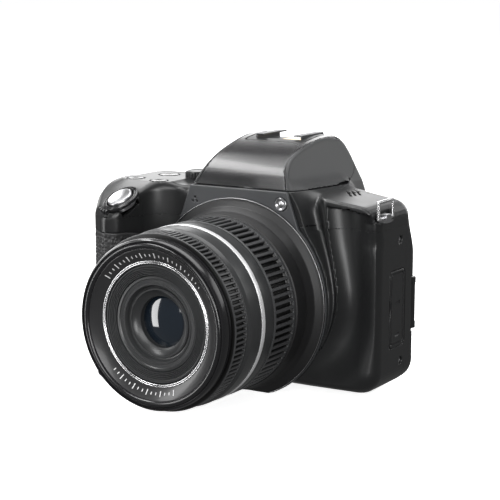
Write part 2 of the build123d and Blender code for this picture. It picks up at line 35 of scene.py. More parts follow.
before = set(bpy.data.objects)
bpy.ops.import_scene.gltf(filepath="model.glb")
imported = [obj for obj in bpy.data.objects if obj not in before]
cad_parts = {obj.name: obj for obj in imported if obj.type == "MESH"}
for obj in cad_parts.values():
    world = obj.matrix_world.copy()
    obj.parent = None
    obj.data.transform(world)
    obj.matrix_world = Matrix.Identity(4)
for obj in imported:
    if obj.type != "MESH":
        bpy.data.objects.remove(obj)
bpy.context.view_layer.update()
MM = 0.001


def span(node):
    """The lowest and highest corner of a CAD node, in millimetres."""
    low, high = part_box(node)
    return np.array(low) / MM, np.array(high) / MM


def middle(node):
    """The middle of a CAD node's box."""
    low, high = span(node)
    return (low + high) / 2


def round_size(node, axis=0):
    """A round node's middle, and its radius as its box has it along an axis."""
    low, high = span(node)
    return (low + high) / 2, (high[axis] - low[axis]) / 2


# ---- sizes read from the frame ----

def ring_size(node):
    """The front, back and radius of a ring on the lens axis."""
    low, high = span(node)
    return low[1], high[1], high[0]


LENS_Z = middle("zoom_ring")[2]
ZOOM_FRONT, ZOOM_BACK, ZOOM_R = ring_size("zoom_ring")
FOCUS_FRONT, FOCUS_BACK, FOCUS_R = ring_size("focus_ring")
BAND_FRONT, BAND_BACK, BAND_R = ring_size("mid_barrel")
RIM_FRONT, RIM_BACK, RIM_R = ring_size("front_rim")
SKIRT_FRONT, SKIRT_BACK, FLANGE_R = ring_size("lens_skirt")
ACCENT_FRONT, ACCENT_BACK, _ = ring_size("accent_ring")
TUBE_R = 28.0

SEAM_TOP = span("front_cover")[1][2]
SEAM_BASE = span("base_cover")[1][2]
SEAM_REAR = span("front_cover")[1][1]
BODY_RIGHT = span("front_cover")[1][0]
BODY_LEFT = -58.0
BODY_FRONT = -20.0
BODY_BACK = span("thumb_rubber")[0][1]
DECK_Z = 72.6
WALL = 2.0
FAR = 120.0  # the open side of a box, well outside the camera

PLATE_FRONT, PLATE_BACK = span("front_plate")[0][1], span("front_plate")[1][1]
PLATE_TOP = span("front_plate")[1][2]
PLATE_HALF = 20.4
PLATE_DISC_R = 36.6
HEAD_GAP = 0.25
HEAD_WALL = 1.6
ISLAND_HALF = span("shoe_island")[1][0]
ISLAND_FRONT = span("shoe_island")[0][1]


# ---- distance fields: each takes x, y, z arrays in millimetres and gives a signed distance ----

def union(a, b, radius):
    """Joins two fields with a concave fillet."""
    if np.isscalar(radius) and radius <= 0:
        return np.minimum(a, b)
    corner = np.hypot(np.maximum(radius - a, 0), np.maximum(radius - b, 0))
    return np.maximum(radius, np.minimum(a, b)) - corner


def common(a, b, radius):
    """What two fields share, with its new edge rounded."""
    return -union(-a, -b, radius)


def less(a, b, radius):
    """The first field with the second cut away, its new edge rounded."""
    return common(a, -b, radius)


def outline(points, radii, steps=6):
    """A closed outline whose corners are arcs of the given radii."""
    corners = [np.array(p, float) for p in points]
    result = []
    for index, (corner, radius) in enumerate(zip(corners, radii)):
        before = corners[index - 1] - corner
        after = corners[(index + 1) % len(corners)] - corner
        before, after = before / np.linalg.norm(before), after / np.linalg.norm(after)
        angle = math.acos(np.clip(before @ after, -1, 1))
        reach = radius / math.tan(angle / 2)
        bisector = before + after
        centre = corner + bisector / np.linalg.norm(bisector) * radius / math.sin(angle / 2)
        start, end = corner + before * reach - centre, corner + after * reach - centre
        for step in range(steps + 1):
            mix = start + (end - start) * step / steps
            result.append(centre + mix / np.linalg.norm(mix) * radius)
    return np.array(result)


def polygon(u, v, points):
    """Signed distance to a closed outline in the plane of u and v."""
    nearest, inside = None, False
    for (ax, ay), (bx, by) in zip(points, np.roll(points, -1, axis=0)):
        ex, ey = bx - ax, by - ay
        if ex * ex + ey * ey < 1e-12:
            continue
        wu, wv = u - ax, v - ay
        along = np.clip((wu * ex + wv * ey) / (ex * ex + ey * ey), 0, 1)
        square = (wu - ex * along) ** 2 + (wv - ey * along) ** 2
        nearest = square if nearest is None else np.minimum(nearest, square)
        straddles = (v >= ay) != (v >= by)
        left = wu * (by - ay) < wv * (bx - ax) if by > ay else wu * (by - ay) > wv * (bx - ax)
        inside = inside ^ (straddles & left)
    return np.where(inside, -1.0, 1.0) * np.sqrt(nearest)


def slab(value, low, high):
    """The space between two parallel planes."""
    return np.maximum(low - value, value - high)


def rounded(u_span, v_span, radii):
    """A rectangle's outline with rounded corners."""
    (u_low, u_high), (v_low, v_high) = u_span, v_span
    return outline([(u_low, v_low), (u_high, v_low), (u_high, v_high), (u_low, v_high)], radii)


def reach_along(x, y, z, origin, direction):
    """How far points lie from an origin along a direction."""
    return (x - origin[0]) * direction[0] + (y - origin[1]) * direction[1] + (z - origin[2]) * direction[2]


def drill(piece, u, v, radius, edge, limit=None):
    """Cuts a round hole about u = v = 0, only where the limit field is negative."""
    hole = np.hypot(u, v) - radius
    return less(piece, hole if limit is None else np.maximum(hole, limit), edge)


def box_field(x, y, z, x_span, y_span, z_span, radius=0.0):
    """A box with rounded edges."""
    sides = []
    for value, (low, high) in ((x, x_span), (y, y_span), (z, z_span)):
        sides.append(np.abs(value - (low + high) / 2) - (high - low) / 2 + radius)
    outside = np.sqrt(sum(np.maximum(side, 0) ** 2 for side in sides))
    inside = np.minimum(np.maximum(np.maximum(sides[0], sides[1]), sides[2]), 0)
    return outside + inside - radius


def ease(value, low, high):
    """0 below low, 1 above high, and smooth between."""
    t = np.clip((value - low) / (high - low), 0, 1)
    return t * t * (3 - 2 * t)


# ---- meshes from fields ----

CORNERS = [(i, j, k) for i in (0, 1) for j in (0, 1) for k in (0, 1)]
EDGES = [
    (a, b)
    for a in range(8)
    for b in range(a + 1, 8)
    if sum(abs(p - q) for p, q in zip(CORNERS[a], CORNERS[b])) == 1
]


def gradient(field, points, reach=0.02):
    """The field's slope at each point."""
    slopes = []
    for axis in range(3):
        ahead, behind = points.copy(), points.copy()
        ahead[:, axis] += reach
        behind[:, axis] -= reach
        slopes.append(field(*ahead.T) - field(*behind.T))
    return np.stack(slopes, 1) / (2 * reach)


def place_vertices(field, values, cells, low, step):
    """One vertex for each cell that the surface crosses, set on the field's sharp features."""
    count = len(cells)
    corner_values = np.stack(
        [values[cells[:, 0] + i, cells[:, 1] + j, cells[:, 2] + k] for i, j, k in CORNERS], 1
    )
    total, crossings = np.zeros((count, 3)), np.zeros(count)
    found = []
    for a, b in EDGES:
        va, vb = corner_values[:, a], corner_values[:, b]
        cut = np.nonzero((va < 0) != (vb < 0))[0]
        share = (va[cut] / (va[cut] - vb[cut]))[:, None]
        start = cells[cut] + np.array(CORNERS[a])
        point = low + step * (start + share * (np.array(CORNERS[b]) - np.array(CORNERS[a])))
        total[cut] += point
        crossings[cut] += 1
        found.append((cut, point))
    centre = total / crossings[:, None]
    pull = np.zeros((count, 3, 3)) + 0.06 * np.eye(3)
    target = np.zeros((count, 3))
    for cut, point in found:
        normal = gradient(field, point)
        normal /= np.maximum(np.linalg.norm(normal, axis=1), 1e-9)[:, None]
        offset = np.einsum("ni,ni->n", normal, point - centre[cut])
        np.add.at(pull, cut, normal[:, :, None] * normal[:, None, :])
        np.add.at(target, cut, normal * offset[:, None])
    move = np.linalg.solve(pull, target[:, :, None])[:, :, 0]
    return centre + np.clip(move, -0.75 * step, 0.75 * step)


def settle(field, points, step):
    """Moves vertices along the slope until they lie on the surface."""
    for _ in range(2):
        slope = gradient(field, points)
        value = field(*points.T)
        steep = np.maximum(np.einsum("ni,ni->n", slope, slope), 0.05)
        points = points - np.clip(value / steep, -step / 2, step / 2)[:, None] * slope
    return points


def contour(field, low, high, step):
    """Vertices, quads and vertex normals of the field's surface, in millimetres."""
    low = np.array(low, float) - 1.5 * step
    counts = np.ceil((np.array(high, float) + 1.5 * step - low) / step).astype(int) + 1
    x, y, z = (low[i] + step * np.arange(counts[i]) for i in range(3))
    values = field(x[:, None, None], y[None, :, None], z[None, None, :])
    values = np.broadcast_to(values, tuple(counts)).astype(np.float32)
    solid = values < 0
    filled = np.zeros(tuple(counts - 1), np.int8)
    for i, j, k in CORNERS:
        filled += solid[i:counts[0] - 1 + i, j:counts[1] - 1 + j, k:counts[2] - 1 + k]
    active = (filled > 0) & (filled < 8)
    cells = np.argwhere(active)
    number = np.full(active.shape, -1, np.int64)
    number[active] = np.arange(len(cells))
    points = settle(field, place_vertices(field, values, cells, low, step), step)
    quads = []
    for axis in range(3):
        near = [slice(None)] * 3
        near[axis] = slice(0, -1)
        far = [slice(None)] * 3
        far[axis] = slice(1, None)
        change = np.argwhere(solid[tuple(near)] != solid[tuple(far)])
        u, v = [a for a in range(3) if a != axis]
        if axis == 1:
            u, v = v, u
        keep = (change[:, u] > 0) & (change[:, v] > 0)
        keep &= (change[:, u] < counts[u] - 1) & (change[:, v] < counts[v] - 1)
        change = change[keep]
        ring = []
        for du, dv in ((1, 1), (0, 1), (0, 0), (1, 0)):
            cell = change.copy()
            cell[:, u] -= du
            cell[:, v] -= dv
            ring.append(number[cell[:, 0], cell[:, 1], cell[:, 2]])
        ring = np.stack(ring, 1)
        outward = solid[change[:, 0], change[:, 1], change[:, 2]]
        ring[~outward] = ring[~outward][:, ::-1]
        quads.append(ring)
    quads = np.concatenate(quads)
    normals = gradient(field, points)
    normals /= np.maximum(np.linalg.norm(normals, axis=1), 1e-9)[:, None]
    return points, quads, normals


def new_object(name, vertices, faces, normals=None):
    """A smooth-shaded mesh object from millimetre vertices and a list of faces."""
    mesh = bpy.data.meshes.new(name)
    mesh.from_pydata((np.asarray(vertices) * MM).tolist(), [], faces)
    mesh.polygons.foreach_set("use_smooth", [True] * len(mesh.polygons))
    mesh.update()
    if normals is not None:
        mesh.normals_split_custom_set_from_vertices(np.asarray(normals).tolist())
    piece = bpy.data.objects.new(name, mesh)
    bpy.context.scene.collection.objects.link(piece)
    return piece


def finish_piece(piece, body, material, nodes=(), sharp=None):
    """Puts a piece on its body, with its finish, in place of its CAD nodes.

    Edges sharper than an angle, if one is given, are kept crisp."""
    if sharp:
        piece.data.set_sharp_from_angle(angle=math.radians(sharp))
    piece.data.materials.append(material)
    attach(piece, body)
    if nodes:
        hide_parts(*nodes)
    return piece


def carve(name, field, low, high, step, skin=None):
    """The field's surface as an object; close to the skin field it is shaded as that skin."""
    points, quads, normals = contour(field, low, high, step)
    if skin is not None:
        close = np.abs(skin(*points.T)) < 0.06
        slope = gradient(skin, points[close])
        normals[close] = slope / np.maximum(np.linalg.norm(slope, axis=1), 1e-9)[:, None]
    return new_object(name, points, quads.tolist(), normals)


# ---- lathe work about the lens axis ----

def ring_points(profile, turns):
    """Profile points (y, radius) swept to each turn; radius may be a list for each turn."""
    rows = []
    for y, radius in profile:
        radius = np.broadcast_to(radius, turns.shape)
        rows.append(
            np.stack([radius * np.sin(turns), np.full_like(turns, y), LENS_Z + radius * np.cos(turns)], 1)
        )
    return np.concatenate(rows)


def ring_faces(rows, count, closed=True):
    """Quads between rings of points; a closed profile joins its last ring to its first."""
    faces = []
    around = np.arange(count)
    after = (around + 1) % count
    for row in range(rows if closed else rows - 1):
        a, b = row * count, ((row + 1) % rows) * count
        faces += np.stack([a + around, a + after, b + after, b + around], 1).tolist()
    return faces


def turned(name, profile, count=256):
    """A body of revolution about the lens axis from (y, radius) points."""
    turns = np.arange(count) * 2 * math.pi / count
    return new_object(name, ring_points(profile, turns), ring_faces(len(profile), count))


def arc(centre, radius, start, end, steps=5):
    """Profile points on an arc: angles in degrees from +y towards larger radius."""
    points = []
    for step in range(steps + 1):
        angle = math.radians(start + (end - start) * step / steps)
        points.append((centre[0] + radius * math.cos(angle), centre[1] + radius * math.sin(angle)))
    return points


# ---- the body's form ----

CORE_OUTLINE = outline(
    [
        (BODY_LEFT, 0),
        (24, 0),
        (47.5, 2.2),
        (BODY_RIGHT, 7.5),
        (BODY_RIGHT, 69.8),
        (31, DECK_Z),
        (-50.5, DECK_Z),
        (BODY_LEFT, 61),
    ],
    [5, 8, 9, 8, 6, 4, 6, 8],
)
GRIP_OUTLINE = outline(
    [
        (-57.6, 4.4),
        (-58.6, -12),
        (-57.8, -27.5),
        (-53.0, -36),
        (-46.0, -41.2),
        (-40.2, -39.4),
        (-36.8, -28),
        (-33.5, -19.5),
        (-33.5, 4.4),
    ],
    [1, 8, 8, 6, 5, 5, 8, 4, 1],
)
HUMP_CROWN = [
    (-19.4, 73.8),
    (-18.6, 76.4),
    (-17.2, 78.9),
    (-15.4, 81.1),
    (-12.9, 83.1),
    (-9.6, 84.8),
    (-6.2, 85.95),
    (-2.7, 86.9),
    (0.7, 87.7),
    (4.2, 88.4),
    (8.0, 89.05),
    (12.0, 89.55),
    (16.0, 89.85),
    (20.3, 89.9),
]


def faired(points, spacing=0.8, window=7):
    """The points' curve, resampled evenly and averaged so that its slope changes smoothly."""
    points = np.array(points)
    steps = np.hypot(*np.diff(points, axis=0).T)
    along = np.concatenate([[0], np.cumsum(steps)])
    places = np.arange(0, along[-1], spacing)
    curve = np.stack([np.interp(places, along, points[:, i]) for i in (0, 1)], 1)
    for _ in range(2):
        padded = np.concatenate([2 * curve[:1] - curve[window // 2:0:-1], curve,
                                 2 * curve[-1:] - curve[-2:-window // 2 - 1:-1]])
        curve = np.stack([np.convolve(padded[:, i], np.ones(window) / window, "valid") for i in (0, 1)], 1)
    return curve


HUMP_PROFILE = np.concatenate([
    [(-19.4, 44)],
    faired(HUMP_CROWN),
    [(20.8, 89.9), (22.4, 89.2), (23.8, 87.2), (24.4, 83.5), (24.4, 70), (22.6, 65), (20.5, 61), (0, 61),
     (0, 44)],
])
RIDGE = ((0.0, 15.0), (10.5, 26.6), (16.0, 32.4), (22.8, 36.6), (30.0, 39.4), (37.5, 40.5),
         (48.0, 38.8), (58.3, 36.7), (73.5, 34.9))
PLATE_OUTLINE = outline(
    [(-PLATE_HALF, PLATE_TOP), (PLATE_HALF, PLATE_TOP), (31.4, 43.5), (-31.4, 43.5)],
    [0.6, 0.6, 0.6, 0.6],
)
SHUTTER_LEAN = np.array([-0.15, -0.5, 0.853])
SHUTTER_LEAN = SHUTTER_LEAN / np.linalg.norm(SHUTTER_LEAN)
SHUTTER_FACE = np.array([-42.0, -34.0, 67.4])
CHEEK_NORMAL = np.array([1.0, -0.17, 0.56])
TOWER_NORMAL = np.array([1.0, -0.17, 0.37])
HUMP_FOOT = np.array([20.5, -19.5, 73.8])


def smoothed(points, reach=4.0):
    """A table of the points' curve, averaged over a reach, for looking values up."""
    heights, places = zip(*points)
    fine = np.linspace(heights[0], heights[-1], 240)
    offsets = np.linspace(-reach, reach, 17)
    values = np.mean([np.interp(fine + offset, heights, places) for offset in offsets], axis=0)
    return fine, values


RIDGE_TABLE = smoothed(RIDGE)


def ridge_x(z):
    """Where the shoulder's crease runs beside the lens, at each height."""
    return np.interp(z, *RIDGE_TABLE)


def plate_field(x, z):
    """The front plate seen from the front: a trapezoid over a disc round the lens."""
    disc = np.hypot(x, z - LENS_Z) - PLATE_DISC_R
    return np.minimum(polygon(x, z, PLATE_OUTLINE), disc)


def shoulder_top(x):
    """The height of the body's top edge above the shoulder."""
    return DECK_Z - 2.8 * np.clip((x - 31) / (BODY_RIGHT - 31), 0, 1)


def front_face(x, z):
    """How far back the shoulder's front face lies: a valley, the crease, then the scoop."""
    ridge = ridge_x(z)
    past = x - ridge
    disc = np.sqrt(np.maximum(PLATE_DISC_R ** 2 - (z - LENS_Z) ** 2, 0))
    tower = HUMP_FOOT[0] + 0.37 * (73.5 - z)
    start = np.where(z < 43.5, disc, np.maximum(disc, np.minimum(tower, 36)))
    width = np.maximum(ridge - start, 0.5)
    share = np.clip((x - start) / width, 0, 1)
    depth = np.minimum(5.0, 0.45 * width) * ease(z, 4, 24)
    valley = depth * ease(share, 0.0, 0.45) * (1 - ease(share, 0.5, 1.0))
    along = np.clip(past / (BODY_RIGHT - 1.2 - ridge), 0, 1)
    below_lip = 1 - ease(z - shoulder_top(x), -3.0, -2.0)
    scoop = 4.8 * np.sin(math.pi * along ** 0.85) * ease(z, 3, 30) * below_lip
    return np.where(past > 0, scoop, np.where(x > 0, valley, 0))


def screen_recess(x, y, z, floor):
    """The hollow in the back that the closed screen lies in, opened out round its hinge."""
    low, high = span("lcd_frame")
    grow = 0.8 + SCREEN_FLOOR - floor
    bed = box_field(x, y, z, (low[0] - grow, high[0] + 1.0 + grow), (floor, FAR),
                    (low[2] - grow, high[2] + grow), 1.0)
    low, high = span("lcd_arm")
    pocket = box_field(x, y, z, (high[0] - 7, FAR), (floor, FAR), (low[2] - 0.4, high[2] + 0.4), 0.3)
    return np.minimum(bed, pocket)


SCREEN_FLOOR = 9.5


def core_form(x, y, z):
    """The body without its grip and hump, with corners that soften towards the shoulder."""
    around = polygon(x, z, CORE_OUTLINE)
    back = y - BODY_BACK
    front = BODY_FRONT + front_face(x, z) - y
    corner = 3.4 + 3.0 * ease(z, 52, 66) * ease(x, -26, -18)
    corner = corner - 1.6 * ease(z, 60, 70) * (1 - ease(x, -30, -20))
    corner = corner - 4.9 * ease(z, 64, 68) * ease(x, 28, 33)
    corner = corner + 3.4 * ease(x, 41, 49) * (1 - ease(z, 56, 64))
    body = common(around, front, corner)
    return common(body, back, 2.2 + 6.0 * ease(z, 50, 66) * ease(x, 20, 50))


def grip_form(x, y, z):
    """The hand grip: a column cut off by the shutter button's leaning face."""
    column = polygon(x, y, GRIP_OUTLINE)
    top = reach_along(x, y, z, SHUTTER_FACE, SHUTTER_LEAN)
    top = common(top, z - DECK_Z, 3.0)
    solid = common(column, top, 2.4)
    return common(solid, -z, 2.0)


def hump_side_field(x, y, z, normal, inset=0.0):
    """Distance outside the hump's leaning sides."""
    return reach_along(np.abs(x), y, z, HUMP_FOOT, normal) / np.linalg.norm(normal) + inset


def hump_form(x, y, z):
    """The hump over the lens: a side profile between two leaning sides."""
    profile = polygon(y, z, HUMP_PROFILE)
    sides = np.maximum(
        hump_side_field(x, y, z, CHEEK_NORMAL), hump_side_field(x, y, z, TOWER_NORMAL)
    )
    corner = 0.9 + 2.6 * ease(y, 12, 22)
    return common(profile, sides, corner)


def body_form(x, y, z):
    """The whole outer form, before it is cut into covers."""
    joined = union(core_form(x, y, z), grip_form(x, y, z), 8.0)
    fillet = 1.3 + 4.7 * ease(x, -8, 8)
    joined = union(joined, hump_form(x, y, z), fillet)
    joined = np.maximum(joined, BODY_FRONT - y - 40 * (1 - ease(x, -26, -12)))
    rise = 0.36 * np.maximum(-y - 5.5, 0) * ease(x, -37, -31)
    return common(joined, (rise - z) / 1.06, 1.5)


HEAD_LINE = smoothed(((-40, 73.8), (13, 73.8), (19, 76.3), (22, 80), (24.6, 84.2), (40, 96)), 2.5)


def head_seam(y, z):
    """Distance above the seam of the flash head, which climbs at the back."""
    height = np.interp(y, *HEAD_LINE)
    ahead = np.interp(np.asarray(y) + 0.5, *HEAD_LINE)
    return (z - height) / np.hypot(1, (ahead - height) / 0.5)


SEAM = 0.025
EDGE = 0.08


def shell_form(x, y, z):
    """The fixed covers as one hollow shell, closed under the flash head."""
    outer = common(body_form(x, y, z), head_seam(y, z) + HEAD_GAP, EDGE)
    bed = screen_recess(x, y, z, SCREEN_FLOOR)
    outer = less(outer, bed, 0.4)
    return np.maximum(outer, -outer - WALL)


def lug_box(x, y, z, name):
    """The hollow in the shoulder that a strap loop stands in."""
    low, high = span(name)
    inner = 1.6 + (high[0] - low[0]) / 2
    centre = (low + high) / 2
    side = math.copysign(1, centre[0])
    ends = sorted((centre[0] - side * inner, centre[0] + side * 12))
    grow = 1.1
    return box_field(x, y, z, ends, (low[1] - grow, high[1] + grow), (low[2] - 0.9, high[2] + 9), 0.6)


def port_region(x, y, z, grow):
    """The opening that the port door fills."""
    low, high = span("port_door")
    return box_field(x, y, z, (low[0] - grow, FAR), (low[1] - grow, high[1] + grow),
                     (low[2] - grow, high[2] + grow), 2.0)


# ---- covers ----

SIDE_SCREWS = ((0.1, 56.8), (1.5, 12.7))
MIC_HOLES = ((-18.3, 69.2), (-19.2, 67.7), (-17.4, 67.7))


def rubber_region(x, y, z, grow):
    """The stretch of the grip that the rubber wrap covers."""
    low, high = span("grip_rubber")
    edge = polygon(x, z, rounded((-80, high[0] + grow), (low[2] - grow, high[2] + grow), [1, 3, 3, 1]))
    return common(edge, y - high[1] - grow, 0.5)


RUBBER_THICK = 1.2
PEBBLE = 1.3


def pebbles(points):
    """Height of a pebbled skin: rounded cells round a jittered grid of centres, 0 to 1."""
    cell = np.floor(points / PEBBLE)
    nearest = np.full(len(points), 9.0)
    second = np.full(len(points), 9.0)
    for i, j, k in np.ndindex(3, 3, 3):
        corner = cell + np.array([i - 1, j - 1, k - 1])
        seed = corner @ np.array([12.9898, 78.233, 37.719])
        jitter = np.stack([np.sin(seed * scale) * 43758.5453 % 1.0 for scale in (1.0, 1.7, 2.3)], 1)
        gap = np.linalg.norm((corner + 0.15 + 0.7 * jitter) * PEBBLE - points, axis=1)
        second = np.minimum(second, np.maximum(gap, nearest))
        nearest = np.minimum(nearest, gap)
    return ease(second - nearest, 0.0, 0.55)


def grip_rubber_field(x, y, z):
    """A skin of the body's form inside the rubber's outline."""
    body = body_form(x, y, z)
    skin = np.maximum(body, -body - RUBBER_THICK + 0.05)
    return common(skin, rubber_region(x, y, z, -0.1), 0.35)


def make_grip_rubber(m):
    """The wrap round the grip, with its pebbled face raised from the mesh itself."""
    low, high = span("grip_rubber")
    low = low - np.array([3.0, 3.0, 0])
    points, quads, normals = contour(grip_rubber_field, low, high + 0.5, 0.34)
    outer = body_form(*points.T) > -0.25
    edge = ease(-rubber_region(*points.T, -0.1), 0.5, 1.6)
    rise = np.where(outer, (pebbles(points) - 0.8) * 0.42 * edge, 0)
    piece = new_object("grip_wrap", points + normals * rise[:, None], quads.tolist())
    finish_piece(piece, "body", m["rubber"], ["grip_rubber"])


DECK_INSIDE = 66.0


def top_cover_field(x, y, z):
    """The top shell, with holes for the deck's controls, the strap lugs and the speaker."""
    piece = common(shell_form(x, y, z), SEAM_TOP + SEAM - z, EDGE)
    piece = common(piece, y - SEAM_REAR + SEAM, EDGE)
    for name in ("power_button", "drive_button", "record_button"):
        centre, radius = round_size(name)
        piece = drill(piece, x - centre[0], y - centre[1], radius + 0.5, 0.25, DECK_INSIDE - z)
    dial = middle("mode_dial")
    piece = drill(piece, x - dial[0], y - dial[1], 2.3, 0.2, DECK_INSIDE - z)
    across, up, depth = shutter_frame(x, y, z)
    piece = drill(piece, across, up, 5.3, 0.3, -4 - depth)
    piece = drill(piece, x, z - LENS_Z, TUBE_R + 0.4, 0.2, y)
    for name in ("lug_ring_right", "lug_ring_left"):
        piece = less(piece, lug_box(x, y, z, name), 0.5)
    return less(piece, speaker_slots(x, y, z), 0.12)


def shutter_frame(x, y, z):
    """Coordinates across and along the leaning face of the shutter button."""
    side = np.array([1.0, 0, 0.176])
    side -= SHUTTER_LEAN * (side @ SHUTTER_LEAN)
    side /= np.linalg.norm(side)
    up = np.cross(SHUTTER_LEAN, side)
    return tuple(reach_along(x, y, z, SHUTTER_FACE, axis) for axis in (side, up, SHUTTER_LEAN))


def speaker_slots(x, y, z):
    """Three slanted slots through the shoulder."""
    slots = None
    turn = math.radians(38)
    for step in range(3):
        dx, dy = x - 35.6 - 0.5 * step, y + 3.4 - 2.5 * step
        across = dx * math.cos(turn) + dy * math.sin(turn)
        along = dy * math.cos(turn) - dx * math.sin(turn)
        slot = np.hypot(across, np.maximum(np.abs(along) - 4.0, 0)) - 0.42
        slots = slot if slots is None else np.minimum(slots, slot)
    return np.maximum(slots, DECK_INSIDE - z)


def front_cover_field(x, y, z):
    """The front shell, cut back for the rubber, the port door, the plate and the lens."""
    piece = common(shell_form(x, y, z), slab(z, SEAM_BASE + SEAM, SEAM_TOP - SEAM), EDGE)
    piece = common(piece, y - SEAM_REAR + SEAM, EDGE)
    skin = np.maximum(rubber_region(x, y, z, 0.12), -body_form(x, y, z) - RUBBER_THICK)
    piece = less(piece, skin, 0.15)
    piece = less(piece, port_region(x, y, z, 0.2), 0.2)
    piece = less(piece, np.maximum(plate_field(x, z) - 0.15, y - BODY_FRONT), 0.2)
    piece = drill(piece, x, z - LENS_Z, TUBE_R + 0.4, 0.2, y)
    for y_at, z_at in SIDE_SCREWS:
        piece = drill(piece, y - y_at, z - z_at, 1.45, 0.25, 50 - x)
    return piece


def base_cover_field(x, y, z):
    """The bottom shell, open for the battery door and the tripod socket."""
    piece = common(shell_form(x, y, z), z - SEAM_BASE + SEAM, EDGE)
    piece = common(piece, y - SEAM_REAR + SEAM, EDGE)
    low, high = span("battery_door")
    door = box_field(x, y, z, (low[0] - 0.3, high[0] + 0.3), (low[1] - 0.3, high[1] + 0.7), (-3, 9), 1.5)
    piece = less(piece, door, 0.2)
    return drill(piece, x, y, 4.45, 0.15)


def rear_cover_field(x, y, z):
    """The back shell, with holes for its buttons, the eyepiece and the diopter wheel."""
    piece = common(shell_form(x, y, z), SEAM_REAR + SEAM - y, EDGE)
    for name in ("d_pad", "playback_button", "menu_button"):
        centre, radius = round_size(name)
        piece = drill(piece, x - centre[0], z - centre[2], radius + 0.3, 0.3, 2 - y)
    low, high = span("eyepiece_lens")
    window = box_field(x, y, z, (low[0] - 0.1, high[0] + 0.1), (19, FAR), (low[2] - 0.1, high[2] + 0.1), 0.3)
    piece = less(piece, window, 0.2)
    wheel = middle("diopter_dial")
    return drill(piece, y - wheel[1], z - wheel[2], 4.3, 0.2, slab(x, -31, -24.4))


def plate_piece_field(x, y, z):
    """The matte front plate, holed for the lens, the lamp and the microphone."""
    piece = common(plate_field(x, z), slab(y, PLATE_FRONT, PLATE_BACK), 0.35)
    piece = common(piece, 0.2 - z, 0.2)
    piece = drill(piece, x, z - LENS_Z, TUBE_R + 0.1, 0.1)
    lamp = middle("af_lamp")
    piece = drill(piece, x - lamp[0], z - lamp[2], 2.4, 0.15)
    for x_at, z_at in MIC_HOLES:
        piece = drill(piece, x - x_at, z - z_at, 0.42, 0.08)
    return piece


# ---- flash head ----

def head_form(x, y, z):
    """The flash head: the hump above its seam, hollow, with a well round the shoe's island."""
    outer = common(body_form(x, y, z), -head_seam(y, z), EDGE)
    room = np.maximum(outer + HEAD_WALL, slab(y, -30, 16.4))
    piece = np.maximum(outer, -room)
    island = box_field(x, y, z, (-ISLAND_HALF - 0.3, ISLAND_HALF + 0.3),
                       (ISLAND_FRONT - 0.4, FAR), (60, FAR), 2.0)
    wall = np.maximum(island - 1.3, 78 - z)
    piece = np.minimum(piece, np.maximum(wall, outer + 0.5))
    return less(piece, island, 0.25)


def strip_field(x, y, z):
    """The flash head's glossy middle, between its two cheeks."""
    side = hump_side_field(x, y, z, CHEEK_NORMAL, 1.0 + SEAM)
    return common(head_form(x, y, z), side, 0.25)


def cheek_field(x, y, z):
    """The flash head's matte cheeks, one on each side."""
    side = hump_side_field(x, y, z, CHEEK_NORMAL, 1.0 - SEAM)
    return common(head_form(x, y, z), -side, 0.25)


def island_field(x, y, z):
    """The block that carries the shoe, standing through the flash head."""
    outer = common(body_form(x, y, z), -head_seam(y, z) - HEAD_GAP, EDGE)
    low, high = span("shoe_rails")
    shape = box_field(x, y, z, (-ISLAND_HALF, ISLAND_HALF), (ISLAND_FRONT, FAR), (60, FAR), 1.8)
    piece = common(outer, shape, 0.3)
    slot = box_field(x, y, z, (low[0] - 0.05, high[0] + 0.05), (low[1] - 0.1, FAR), (low[2], FAR), 0.2)
    piece = less(piece, slot, 0.3)
    low, high = span("evf_module")
    return less(piece, box_field(x, y, z, (-10.8, 10.8), (low[1] - 1, high[1] + 0.8), (50, 84.5), 0.2), 0.1)


# ---- materials ----

def add_node(tree, kind, **inputs):
    """A shader node with some of its inputs set."""
    node = tree.nodes.new("ShaderNode" + kind)
    for name, value in inputs.items():
        node.inputs[name.replace("_", " ")].default_value = value
    return node


def mix_colours(tree, factor):
    """A colour mix led by a factor; inputs 6 and 7 are its two colours."""
    mix = add_node(tree, "Mix")
    mix.data_type = "RGBA"
    tree.links.new(factor, mix.inputs[0])
    return mix


def plastic(name, colour, roughness, grain=0.0, grain_size=0.3, vary=0.04, coat=0.0, metal=0.0,
            streak=None, groove=None):
    """A moulded or metal finish: fine grain in its bump, and colour and roughness that wander; a groove span
    adds painted shade in the grooves.
    """
    material = bpy.data.materials.new(name)
    material.use_nodes = True
    tree = material.node_tree
    link = tree.links.new
    shader = tree.nodes["Principled BSDF"]
    shader.inputs["Metallic"].default_value = metal
    shader.inputs["Coat Weight"].default_value = coat
    shader.inputs["Coat Roughness"].default_value = 0.08
    place = add_node(tree, "TexCoord").outputs["Object"]
    wander = add_node(tree, "TexNoise", Scale=1 / (9 * MM), Detail=5)
    link(place, wander.inputs["Vector"])
    tone = add_node(tree, "MapRange", To_Min=roughness - vary, To_Max=roughness + vary)
    link(wander.outputs["Fac"], tone.inputs["Value"])
    link(tone.outputs["Result"], shader.inputs["Roughness"])
    shade = mix_colours(tree, wander.outputs["Fac"])
    shade.inputs[6].default_value = (*[c * 0.86 for c in colour], 1)
    shade.inputs[7].default_value = (*[c * 1.14 for c in colour], 1)
    colour_out = paint_groove_shade(tree, place, shade, groove) if groove else shade.outputs[2]
    link(colour_out, shader.inputs["Base Color"])
    fine = add_node(tree, "TexNoise", Scale=1 / (grain_size * MM), Detail=3)
    if streak:
        squeeze = add_node(tree, "Mapping", Scale=streak)
        link(place, squeeze.inputs["Vector"])
        link(squeeze.outputs["Vector"], fine.inputs["Vector"])
    else:
        link(place, fine.inputs["Vector"])
    bump = add_node(tree, "Bump", Strength=grain, Distance=0.05 * MM)
    link(fine.outputs["Fac"], bump.inputs["Height"])
    link(bump.outputs["Normal"], shader.inputs["Normal"])
    return material


